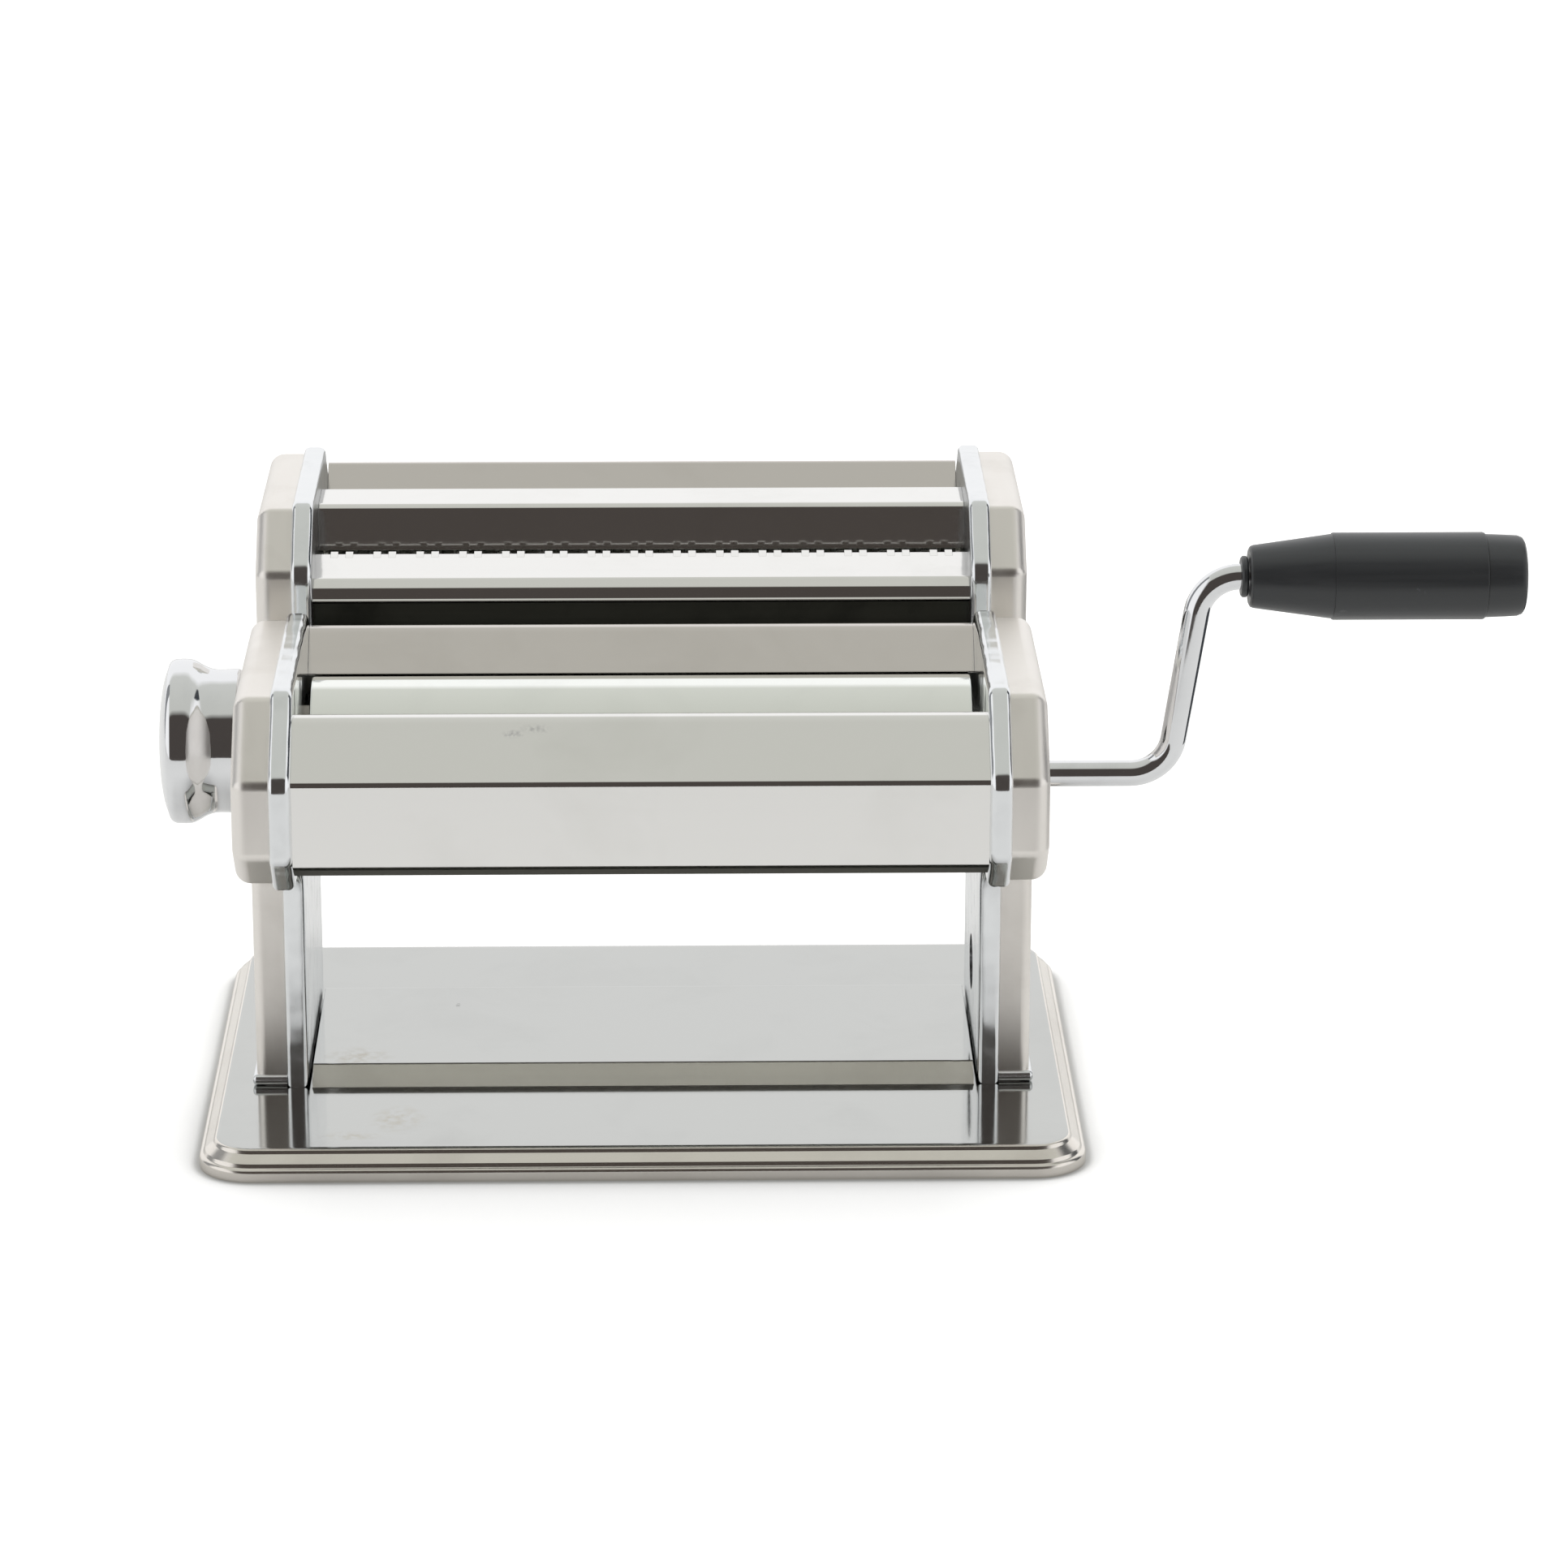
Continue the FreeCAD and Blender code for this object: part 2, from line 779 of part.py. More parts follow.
def front_roller_hubs():
    """The two plugs in the fixed roller's ends: one carries the gear, one takes the crank."""
    half = roller_length / 2
    y, z = roller_axis_y, roller_axis_z
    plain = rod(half - hub_depth, half, tube_bore, y, z)
    left = mirrored(plain.fuse(rod(half, gear_x + gear_width, stub_radius, y, z)).removeSplitter())
    right = plain.fuse(rod(half, stub_end_x, stub_radius, y, z)).removeSplitter()
    right = right.cut(crank_socket(stub_end_x, y, z))
    return Part.makeCompound([left, right])


def crank_socket(x, y, z):
    """The hole that the crank goes into: round at its mouth, six-sided at its bottom."""
    round_part = round_bar(x - socket_depth, x, rod_radius + socket_clearance, y, z)
    flats = tip_flats + 2 * tip_clearance
    bottom = x - socket_depth - tip_length - socket_clearance
    return round_part.fuse(prism(bottom, x, flats, 6, y, z))


def roller_gear(y, shaft, phase):
    """One of the two equal gears that turn the smooth rollers together."""
    return gear(
        roller_teeth, roller_distance, roller_pressure_angle, roller_tooth_tip, tooth_root, shaft,
        -gear_x - gear_width, y, roller_axis_z, phase,
    )


def rear_roller():
    """The adjustable roller: a thick tube whose left hub carries its gear."""
    half = roller_length / 2
    y, z = rear_roller_y, roller_axis_z
    tube = round_bar(-half, half, roller_radius, y, z)
    hub = rod(-gear_x - gear_width, -half, rear_hub_radius, y, z)
    passage = bore(-gear_x - gear_width, half, rear_bore, y, z)
    return tube.fuse(hub).removeSplitter().cut(passage)


def roller_sleeves():
    """The plain bearing sleeves between the adjuster axle and the adjustable roller."""
    y, z = rear_roller_y, roller_axis_z
    half = roller_length / 2
    inner = axle_radius + running_clearance
    solids = []
    for start in (-gear_x - gear_width, half - sleeve_length):
        end = start + sleeve_length
        solids.append(round_bar(start, end, sleeve_radius, y, z).cut(bore(start, end, inner, y, z)))
    return Part.makeCompound(solids)


def adjuster_axle():
    """The stepped axle inside the adjustable roller: its ends turn true, its middle off centre."""
    body = rod(-gear_x - gear_width, roller_length / 2, axle_radius, rear_roller_y, roller_axis_z)
    right = round_bar(roller_length / 2, outer_x, journal_radius, axle_y, axle_z)
    left = rod(-knob_back_x, -gear_x - gear_width, journal_radius, axle_y, axle_z)
    key_end = knob_floor_x + key_end_reach
    key = prism(-key_end, -knob_back_x, key_width, 4, axle_y, axle_z)
    thread = rod(-nut_end_x, -key_end, thread_radius, axle_y, axle_z)
    return body.fuse([right, left, key, thread]).removeSplitter()


def knob_nut():
    """The nut on the axle's end, which the knob's spring pushes against."""
    flats = 2 * (spring_radius + spring_wire)
    nut = prism(-nut_end_x, -nut_face_x, flats, 6, axle_y, axle_z)
    return nut.cut(rod(-nut_end_x, -nut_face_x, thread_radius, axle_y, axle_z))


def knob():
    """The setting knob: a waisted bell with a hollow for its spring and index holes in its back."""
    back, end = knob_back_x, knob_cap_x
    rim = end - knob_rim_length
    waist = back + (rim - back) * knob_waist_part
    profile = [
        (-back, knob_neck_radius),
        (-waist, knob_waist_radius),
        (-rim, knob_rim_radius),
        (-end + knob_rim_bevel, knob_rim_radius),
        (-end, knob_cap_radius),
    ]
    bell = turned(profile, knob_sides, axle_y, axle_z)
    bell = bell.cut(rod(-end, -knob_floor_x, knob_cavity_radius, axle_y, axle_z))
    bell = bell.cut(prism(-end, -back, key_width + 2 * key_clearance, 4, axle_y, axle_z))
    hole_flats = 2 * (index_pin_radius + index_clearance)
    for i in range(setting_count):
        angle = math.pi - 2 * half_turn * i / (setting_count - 1)
        y = axle_y + index_ring * math.cos(angle)
        z = axle_z + index_ring * math.sin(angle)
        bell = bell.cut(prism(-back - index_hole_depth, -back, hole_flats, 4, y, z))
    return bell


def knob_cap():
    """The slightly domed disc that closes the knob's face."""
    edge = knob_end_x - knob_dome
    profile = [
        (-knob_cap_x, knob_cap_radius),
        (-edge, knob_cap_radius),
        (-knob_end_x, knob_cap_radius - 3 * knob_dome),
    ]
    return turned(profile, knob_sides, axle_y, axle_z)


def knob_spring():
    """The space of the coil spring that pulls the knob home, between the knob's floor and the nut."""
    outer = spring_radius + spring_wire / 2
    return collar(-nut_face_x, -knob_floor_x, outer, outer - spring_wire, axle_y, axle_z)


def index_pin():
    """The pin in the left cover that the knob's holes drop over."""
    z = axle_z
    y = axle_y - index_ring
    x = knob_back_x - index_clearance
    return rod(-x, -cover_x, index_pin_radius, y, z)


def crank_rod():
    """The bent crank rod, six-sided at the end that goes into the roller."""
    y, z = roller_axis_y, roller_axis_z
    start = V(stub_end_x - socket_depth, y, z)
    lower = V(crank_lower_corner, y, z)
    upper = V(crank_upper_corner, y, crank_z)
    end = V(grip_end_x - grip_end_length + retainer_thickness + rod_end_reach, y, crank_z)
    first = cut_corner(start, lower, upper, crank_bend)
    second = cut_corner(lower, upper, end, crank_bend)
    path = Part.Wire([
        Part.LineSegment(start, first[0]).toShape(),
        Part.Arc(*first).toShape(),
        Part.LineSegment(first[2], second[0]).toShape(),
        Part.Arc(*second).toShape(),
        Part.LineSegment(second[2], end).toShape(),
    ])
    profile = loop(corners_round(start.x, rod_radius, bar_sides, y, z))
    bar = path.makePipeShell([profile], True, False)
    tip = prism(stub_end_x - socket_depth - tip_length, stub_end_x - socket_depth, tip_flats, 6, y, z)
    return bar.fuse(tip).removeSplitter()


def crank_collar():
    """The small collar that keeps the grip off the crank's bend."""
    end = grip_start - small_gap
    return collar(end - collar_length, end, collar_radius, rod_radius, roller_axis_y, crank_z)


def grip_retainer():
    """The push-on washer at the rod's end, which keeps the grip on."""
    x = grip_end_x - grip_end_length + small_gap
    return collar(x, x + retainer_thickness, retainer_radius, rod_radius, roller_axis_y, crank_z)


def grip():
    """The grip: a cone from its nose up to a barrel."""
    x1 = grip_start + grip_cone
    x2 = grip_end_x - grip_end_length
    y, z = roller_axis_y, crank_z
    cone = turned([(grip_start, grip_nose_radius), (x1, grip_radius - grip_shoulder)], grip_sides, y, z)
    barrel = rod(x1, x2, grip_radius, y, z, grip_sides)
    return cone.fuse(barrel).cut(round_bar(grip_start, x2, rod_radius + running_clearance, y, z))


def grip_cap():
    """The plug that closes the grip's outer end over the rod's washer."""
    x2 = grip_end_x - grip_end_length
    floor = x2 + cap_socket_depth
    y, z = roller_axis_y, crank_z
    profile = [
        (x2, grip_end_radius),
        (grip_end_x - grip_end_bevel, grip_end_radius),
        (grip_end_x, grip_end_radius - grip_end_bevel),
    ]
    return turned(profile, grip_sides, y, z).cut(rod(x2, floor, cap_socket_radius, y, z))


def hook_span():
    """The lowest and highest places of the cutter unit's hooks."""
    slot_floor = cutter_front_tie_z - cutter_tie_radius - hook_slot_clearance
    low = min(slot_floor, rear_tie_z - tie_radius) - hook_wall
    high = cutter_front_tie_z + hook_lip
    return low, high


def cutter_hooks():
    """Two hooks on the roller unit's rear tie rod, which hold up the cutter unit's front rod."""
    low, high = hook_span()
    slot = cutter_tie_radius + hook_slot_clearance
    start = rear_tie_y - tie_radius - hook_wall / 2
    end = cutter_front_tie_y + slot + hook_wall
    x = inner_x - hook_thickness
    cut = hook_corner
    corners = [
        (start, low, 0),
        (end - cut, low, 0),
        (end, low + cut, 0),
        (end, high, 0),
        (start, high, 0),
    ]
    plate = side_plate(corners, x, hook_thickness)
    plate = plate.cut(rod(x, inner_x, slot, cutter_front_tie_y, cutter_front_tie_z))
    mouth = Part.makeBox(hook_thickness, 2 * slot, high - cutter_front_tie_z)
    mouth.translate(V(x, cutter_front_tie_y - slot, cutter_front_tie_z))
    plate = plate.cut(mouth)
    plate = plate.cut(rod(x, inner_x, tie_radius, rear_tie_y, rear_tie_z))
    return Part.makeCompound([plate, mirrored(plate)])


def cutter_places():
    """The four cutter rollers' axes, from front to back: the wide pair, then the narrow pair."""
    m = cutter_middle
    return [m - outer_offset, m - inner_offset, m + inner_offset, m + outer_offset]


def cutter_ties():
    return [(cutter_front_tie_y, cutter_front_tie_z), (cutter_rear_tie_y, cutter_rear_tie_z)]


def cutter_rods():
    """Two bars riveted flush into the cutter flanges."""
    return Part.makeCompound([rod(-outer_x, outer_x, cutter_tie_radius, y, z) for y, z in cutter_ties()])


def cutter_flange():
    """The right cutter flange before its roller holes are cut."""
    plate = side_plate(cutter_outline(), inner_x, frame_thickness)
    for y, z in cutter_ties():
        plate = plate.cut(rod(inner_x, outer_x, cutter_tie_radius, y, z))
    return plate


def cutter_stubs():
    """The right-hand stub radius of each cutter roller: the two outer ones take the crank."""
    return [cutter_socket_stub, cutter_stub, cutter_stub, cutter_socket_stub]


def bearing_block(y, stub):
    """A square bearing block in the right cutter flange."""
    return prism(inner_x, outer_x, 2 * (stub + running_clearance + bush_wall / 2), 4, y, cutter_axis_z)


def left_cutter_flange():
    plate = cutter_flange()
    for y in cutter_places():
        plate = plate.cut(bearing_block(y, cutter_stub))
    return mirrored(plate)


def right_cutter_flange():
    plate = cutter_flange()
    for y, stub in zip(cutter_places(), cutter_stubs()):
        plate = plate.cut(bearing_block(y, stub))
    return plate


def cutter_bearings():
    """The cutter rollers' bearing blocks, flush in the flanges."""
    solids = []
    for y, stub in zip(cutter_places(), cutter_stubs()):
        hole = bore(inner_x, outer_x, stub + running_clearance, y, cutter_axis_z)
        solids.append(bearing_block(y, stub).cut(hole))
        hole = bore(inner_x, outer_x, cutter_stub + running_clearance, y, cutter_axis_z)
        solids.append(mirrored(bearing_block(y, cutter_stub).cut(hole)))
    return Part.makeCompound(solids)


def cutter_cover():
    """A pressed cover over one cutter flange."""
    outside = cap(inset(cutter_outline(), cover_inset), outer_x, cover_depth, cover_round)
    hollow = inset(cutter_outline(), cover_inset + cover_wall)
    return outside.cut(side_plate(square(hollow), outer_x, cover_depth - cover_wall))


def left_cutter_cover():
    return mirrored(cutter_cover())


def right_cutter_cover():
    """The right cutter cover, open over the two crank sockets."""
    cover = cutter_cover()
    places = cutter_places()
    for y in (places[0], places[3]):
        hole = cutter_socket_stub + cover_wall
        cover = cover.cut(bore(outer_x, cover_x, hole, y, cutter_axis_z))
    return cover


def cutter_front_sheet():
    """The cutter unit's front: a low wall, a lip that leans back, and the table to the wide slot."""
    y = cutter_front + cutter_front_inset
    brow_y = y + cutter_lip_lean
    brow_z = cutter_lip_foot + cutter_lip_rise
    table_y = brow_y + cutter_brow
    table_z = brow_z + cutter_brow
    rear_y = table_y + cutter_table_depth
    rear_z = table_z + cutter_table_rise
    path = [
        (y + cutter_wall_inset, cutter_wall_foot),
        (y + cutter_wall_inset, cutter_lip_foot - cutter_lip_lean),
        (y, cutter_lip_foot),
        (brow_y, brow_z),
        (table_y, table_z),
        (rear_y, rear_z),
        (rear_y, rear_z - cutter_table_lip),
    ]
    return folded_sheet(path, sheet, cutter_sheet_bend, inner_x)


def cutter_ridge():
    """The flat-topped channel between the two slots, its walls leaning outward to their feet."""
    y0 = cutter_middle - ridge_width / 2
    y1 = cutter_middle + ridge_width / 2
    path = [
        (y0 - ridge_lean, ridge_foot),
        (y0, ridge_top),
        (y1, ridge_top),
        (y1 + ridge_lean, ridge_foot),
    ]
    return folded_sheet(path, sheet, sheet_bend, inner_x)


def cutter_rear_sheet():
    """The guide behind the narrow slot, folded over and down as the unit's back."""
    centre_y = cutter_places()[3]
    reach = disc_radius + cutter_sheet_gap
    middle = ((rear_guide_y - centre_y) + (rear_guide_z - cutter_axis_z)) / 2
    skew = ((rear_guide_z - cutter_axis_z) - (rear_guide_y - centre_y)) / 2
    run = middle - math.sqrt(reach ** 2 / 2 - skew ** 2) - sheet
    rear = cutter_rear - cutter_front_inset
    drop = rear - rear_guide_y
    path = [
        (rear_guide_y - run, rear_guide_z - run),
        (rear_guide_y, rear_guide_z),
        (rear, rear_guide_z - drop),
        (rear, cutter_rear_foot),
    ]
    return folded_sheet(path, sheet, sheet_bend, inner_x)


def cutter_roller(index, strip, shifted, sides):
    """One cutter roller: discs ground on a core, stubs at both ends, a crank socket on the outer ones."""
    y = cutter_places()[index]
    stub = cutter_stubs()[index]
    half = roller_length / 2
    right_end = stub_end_x if stub == cutter_socket_stub else outer_x
    facing = math.cos(math.pi / sides)
    blocks = [
        rod(-gear_x - gear_width, -half, cutter_stub, y, cutter_axis_z),
        round_bar(half, right_end, stub, y, cutter_axis_z),
    ]
    edge = -half
    for start, end in disc_spans(strip, shifted):
        blocks.append(prism(edge, start, 2 * core_radius * facing, sides, y, cutter_axis_z))
        blocks.append(prism(start, end, 2 * disc_radius * facing, sides, y, cutter_axis_z))
        edge = end
    blocks.append(prism(edge, half, 2 * core_radius * facing, sides, y, cutter_axis_z))
    solid = blocks[0].fuse(blocks[1:])
    if stub == cutter_socket_stub:
        solid = solid.cut(crank_socket(right_end, y, cutter_axis_z))
    return solid


def cutter_gear(index, phase):
    """One of the small gears that turn a pair of cutter rollers together."""
    y = cutter_places()[index]
    return gear(
        cutter_teeth, cutter_pair_distance, cutter_pressure_angle, cutter_tooth_tip, tooth_root, cutter_stub,
        -gear_x - gear_width, y, cutter_axis_z, phase,
    )


def disc_spans(strip, shifted):
    """Where one cutter roller's discs start and end along X."""
    count = int(roller_length / 2 / strip)
    turns = [k for k in range(-count, count) if (k + shifted) % 2 == 0]
    return [(k * strip + disc_clearance, (k + 1) * strip - disc_clearance) for k in turns]


def comb_pair(first):
    """The two stripping combs' bars of one pair of cutter rollers, one under each roller."""
    top = cutter_axis_z - disc_radius - cutter_sheet_gap
    width = comb_outward + comb_inward
    bars = []
    for index, side in ((first, -1), (first + 1, 1)):
        y = cutter_places()[index]
        low = min(y + side * comb_outward, y - side * comb_inward)
        bars.append(Part.makeBox(flange_gap, width, comb_thickness, V(-inner_x, low, top - comb_thickness)))
    return Part.makeCompound(bars)


def build():
    """Every piece by its node's name."""
    tooth = 2 * math.pi / roller_teeth
    small_tooth = 2 * math.pi / cutter_teeth
    main_ties = [(front_tie_y, front_tie_z), (rear_tie_y, rear_tie_z)]
    pieces = {
        "base_plate": base_plate(),
        "base_tray": base_tray(),
        "leg_screws": leg_screws(),
        "left_frame": left_frame(),
        "right_frame": right_frame(),
        "left_cover": left_cover(),
        "right_cover": right_cover(),
        "front_plate": front_sheet(),
        "guide_plate": rear_sheet(),
        "front_scraper": scraper(roller_axis_y, -1),
        "rear_scraper": scraper(rear_roller_y, 1),
        "tie_rods": tie_rods(main_ties, tie_radius),
        "tie_nuts": tie_nuts(main_ties),
        "roller_bushes": roller_bushes(),
        "axle_bushes": axle_bushes(),
        "index_pin": index_pin(),
        "cutter_hooks": cutter_hooks(),
        "front_roller": front_roller(),
        "front_roller_hubs": front_roller_hubs(),
        "front_gear": roller_gear(roller_axis_y, stub_radius, 0),
        "rear_roller": rear_roller(),
        "rear_gear": roller_gear(rear_roller_y, rear_hub_radius, math.pi + tooth / 2),
        "roller_sleeves": roller_sleeves(),
        "adjuster_axle": adjuster_axle(),
        "knob_nut": knob_nut(),
        "knob": knob(),
        "knob_cap": knob_cap(),
        "knob_spring": knob_spring(),
        "crank_rod": crank_rod(),
        "crank_collar": crank_collar(),
        "grip_retainer": grip_retainer(),
        "grip": grip(),
        "grip_cap": grip_cap(),
        "left_cutter_flange": left_cutter_flange(),
        "right_cutter_flange": right_cutter_flange(),
        "left_cutter_cover": left_cutter_cover(),
        "right_cutter_cover": right_cutter_cover(),
        "cutter_front_plate": cutter_front_sheet(),
        "cutter_ridge": cutter_ridge(),
        "cutter_rear_plate": cutter_rear_sheet(),
        "cutter_tie_rods": cutter_rods(),
        "cutter_bearings": cutter_bearings(),
        "wide_combs": comb_pair(0),
        "narrow_combs": comb_pair(2),
        "wide_cutter_front": cutter_roller(0, wide_strip, 0, wide_sides),
        "wide_cutter_rear": cutter_roller(1, wide_strip, 1, wide_sides),
        "wide_gear_front": cutter_gear(0, 0),
        "wide_gear_rear": cutter_gear(1, math.pi + small_tooth / 2),
        "narrow_cutter_front": cutter_roller(2, narrow_strip, 0, narrow_sides),
        "narrow_cutter_rear": cutter_roller(3, narrow_strip, 1, narrow_sides),
        "narrow_gear_front": cutter_gear(2, 0),
        "narrow_gear_rear": cutter_gear(3, math.pi + small_tooth / 2),
    }
    return pieces


os.makedirs("parts", exist_ok=True)
for name, shape in build().items():
    shape.translate(place)
    shape.exportStep("parts/" + name + ".step")
    print(name, len(shape.Solids), shape.isValid(), round(shape.Volume, 1))
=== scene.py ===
import bpy
import bmesh
import math
from mathutils import Matrix, Vector


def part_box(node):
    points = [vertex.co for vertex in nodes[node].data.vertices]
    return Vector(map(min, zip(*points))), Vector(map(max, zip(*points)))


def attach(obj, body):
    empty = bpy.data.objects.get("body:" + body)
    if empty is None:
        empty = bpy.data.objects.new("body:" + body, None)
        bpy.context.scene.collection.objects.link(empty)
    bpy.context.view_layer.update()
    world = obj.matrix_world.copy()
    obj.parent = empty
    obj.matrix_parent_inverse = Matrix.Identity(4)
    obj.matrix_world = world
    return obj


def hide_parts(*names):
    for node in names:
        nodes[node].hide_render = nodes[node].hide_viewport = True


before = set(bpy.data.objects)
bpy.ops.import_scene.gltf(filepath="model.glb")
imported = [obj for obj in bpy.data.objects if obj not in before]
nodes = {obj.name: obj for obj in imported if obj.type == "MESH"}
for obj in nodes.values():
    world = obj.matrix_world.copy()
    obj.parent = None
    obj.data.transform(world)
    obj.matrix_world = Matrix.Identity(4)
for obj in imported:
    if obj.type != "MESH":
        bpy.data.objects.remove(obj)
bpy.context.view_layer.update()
scene = bpy.context.scene
scene.view_settings.view_transform = "Standard"
print("frame loaded:", len(nodes), "nodes")

mm = 0.001
baseLow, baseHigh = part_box("base_plate")
middleX = (baseLow.x + baseHigh.x) / 2  # mid-plane between the side frames
frontY = baseLow.y  # front edge of the base


def at(x, y, z):  # millimetres from the mid-plane, the base's front edge and the table
    return Vector((middleX + x * mm, frontY + y * mm, z * mm))


# Materials

def hexColor(code):  # sRGB hex to linear
    parts = [int(code[i:i + 2], 16) / 255 for i in (1, 3, 5)]
    return (*[p / 12.92 if p <= 0.04045 else ((p + 0.055) / 1.055) ** 2.4 for p in parts], 1.0)


def addNode(tree, kind, values=None, links=None, **settings):
    node = tree.nodes.new(kind)
    for key, value in settings.items():
        setattr(node, key, value)
    for key, value in (values or {}).items():
        node.inputs[key].default_value = value
    for key, source in (links or {}).items():
        tree.links.new(source, node.inputs[key])
    return node


def startMaterial(name):
    material = bpy.data.materials.new(name)
    material.use_nodes = True
    tree = material.node_tree
    tree.nodes.clear()
    coords = addNode(tree, "ShaderNodeTexCoord")
    return material, tree, coords.outputs["Object"]


def perMm(*sizes):  # pattern scale from real sizes in millimetres
    return tuple(1000 / size for size in sizes)


def metalFinish(name, look):
    # grain gives the drawn or polished direction, blotch the handling marks, wave the sheet's slight buckle;
    # the real drawn lines are finer, and are as coarse here as they need to be to show
    material, tree, place = startMaterial(name)
    along = addNode(tree, "ShaderNodeMapping", {"Scale": perMm(*look["grainMm"])}, {"Vector": place})
    grain = addNode(tree, "ShaderNodeTexNoise", {"Scale": 1.0, "Detail": 4.0, "Roughness": 0.65},
                    {"Vector": along.outputs[0]})
    blotch = addNode(tree, "ShaderNodeTexNoise",
                     {"Scale": 1000 / look["blotchMm"], "Detail": 5.0, "Roughness": 0.6, "Distortion": 0.4},
                     {"Vector": place})
    wave = addNode(tree, "ShaderNodeTexNoise", {"Scale": 1000 / look["waveMm"], "Detail": 1.0},
                   {"Vector": place})
    marks = addNode(tree, "ShaderNodeMapRange",
                    {"From Min": 0.5, "From Max": 0.8, "To Min": 0.0, "To Max": 1.0},
                    {"Value": blotch.outputs["Fac"]})
    tone = addNode(tree, "ShaderNodeMix", {6: hexColor(look["tone"]), 7: hexColor(look["markTone"])},
                   {0: marks.outputs[0]}, data_type="RGBA")
    for centre, size, smudgeTone in look.get("smudges", []):  # handling marks at known places, broken up
        spot = addNode(tree, "ShaderNodeVectorMath", {1: at(*centre)}, {0: place}, operation="SUBTRACT")
        spot = addNode(tree, "ShaderNodeVectorMath", {1: perMm(*size)}, {0: spot.outputs[0]},
                       operation="MULTIPLY")
        away = addNode(tree, "ShaderNodeVectorMath", {}, {0: spot.outputs[0]}, operation="LENGTH")
        near = addNode(tree, "ShaderNodeMapRange", {"From Min": 1.0, "From Max": 0.2},
                       {"Value": away.outputs["Value"]})
        broken = addNode(tree, "ShaderNodeTexNoise", {"Scale": 1000 / (0.6 * min(size)), "Detail": 4.0},
                         {"Vector": place})
        patch = addNode(tree, "ShaderNodeMapRange", {"From Min": 0.4, "From Max": 0.7},
                        {"Value": broken.outputs["Fac"]})
        mask = addNode(tree, "ShaderNodeMath", {}, {0: near.outputs[0], 1: patch.outputs[0]},
                       operation="MULTIPLY")
        tone = addNode(tree, "ShaderNodeMix", {7: hexColor(smudgeTone)},
                       {0: mask.outputs[0], 6: tone.outputs[2]}, data_type="RGBA")
    fineRough = addNode(tree, "ShaderNodeMapRange",
                        {"From Min": 0.3, "From Max": 0.7,
                         "To Min": look["rough"], "To Max": look["roughGrain"]},
                        {"Value": grain.outputs["Fac"]})
    rough = addNode(tree, "ShaderNodeMath", {1: look["markRough"]},
                    {0: marks.outputs[0], 2: fineRough.outputs[0]}, operation="MULTIPLY_ADD")
    if "dullTop" in look:  # below this height the finish is duller
        height = addNode(tree, "ShaderNodeSeparateXYZ", links={0: place})
        low, high = (look["dullTop"] - look["dullFade"]) * mm, look["dullTop"] * mm
        dull = addNode(tree, "ShaderNodeMapRange",
                       {"From Min": low, "From Max": high, "To Min": look["dullRough"], "To Max": 0.0},
                       {"Value": height.outputs["Z"]})
        rough = addNode(tree, "ShaderNodeMath", {}, {0: rough.outputs[0], 1: dull.outputs[0]},
                        operation="ADD")
    wavy = addNode(tree, "ShaderNodeBump", {"Strength": look["waveBump"], "Distance": 0.001},
                   {"Height": wave.outputs["Fac"]})
    drawn = addNode(tree, "ShaderNodeBump", {"Strength": look["grainBump"], "Distance": 0.0001},
                    {"Height": grain.outputs["Fac"], "Normal": wavy.outputs[0]})
    shader = addNode(tree, "ShaderNodeBsdfPrincipled", {"Metallic": 1.0},
                     {"Base Color": tone.outputs[2], "Roughness": rough.outputs[0],
                      "Normal": drawn.outputs[0]})
    addNode(tree, "ShaderNodeOutputMaterial", links={"Surface": shader.outputs[0]})
    return material


def plasticFinish(name, look):
    # a moulded skin: fine spark grain, faint flow lines along X, pale scuffs from handling
    material, tree, place = startMaterial(name)
    grain = addNode(tree, "ShaderNodeTexNoise", {"Scale": 1000 / look["grainMm"], "Detail": 2.0},
                    {"Vector": place})
    along = addNode(tree, "ShaderNodeMapping", {"Scale": perMm(*look["flowMm"])}, {"Vector": place})
    flow = addNode(tree, "ShaderNodeTexNoise", {"Scale": 1.0, "Detail": 3.0}, {"Vector": along.outputs[0]})
    scuff = addNode(tree, "ShaderNodeTexNoise",
                    {"Scale": 1000 / look["scuffMm"], "Detail": 6.0, "Roughness": 0.7, "Distortion": 1.5},
                    {"Vector": place})
    worn = addNode(tree, "ShaderNodeMapRange", {"From Min": 0.66, "From Max": 0.78},
                   {"Value": scuff.outputs["Fac"]})
    skin = addNode(tree, "ShaderNodeMix", {6: hexColor(look["tone"]), 7: hexColor(look["flowTone"])},
                   {0: flow.outputs["Fac"]}, data_type="RGBA")
    tone = addNode(tree, "ShaderNodeMix", {7: hexColor(look["scuffTone"])},
                   {0: worn.outputs[0], 6: skin.outputs[2]}, data_type="RGBA")
    rough = addNode(tree, "ShaderNodeMapRange",
                    {"From Min": 0.3, "From Max": 0.7, "To Min": look["rough"], "To Max": look["roughWorn"]},
                    {"Value": flow.outputs["Fac"]})
    skinBump = addNode(tree, "ShaderNodeBump", {"Strength": look["bump"], "Distance": 0.0002},
                       {"Height": grain.outputs["Fac"]})
    shader = addNode(tree, "ShaderNodeBsdfPrincipled", {"Metallic": 0.0, "IOR": look["ior"]},
                     {"Base Color": tone.outputs[2], "Roughness": rough.outputs[0],
                      "Normal": skinBump.outputs[0]})
    addNode(tree, "ShaderNodeOutputMaterial", links={"Surface": shader.outputs[0]})
    return material


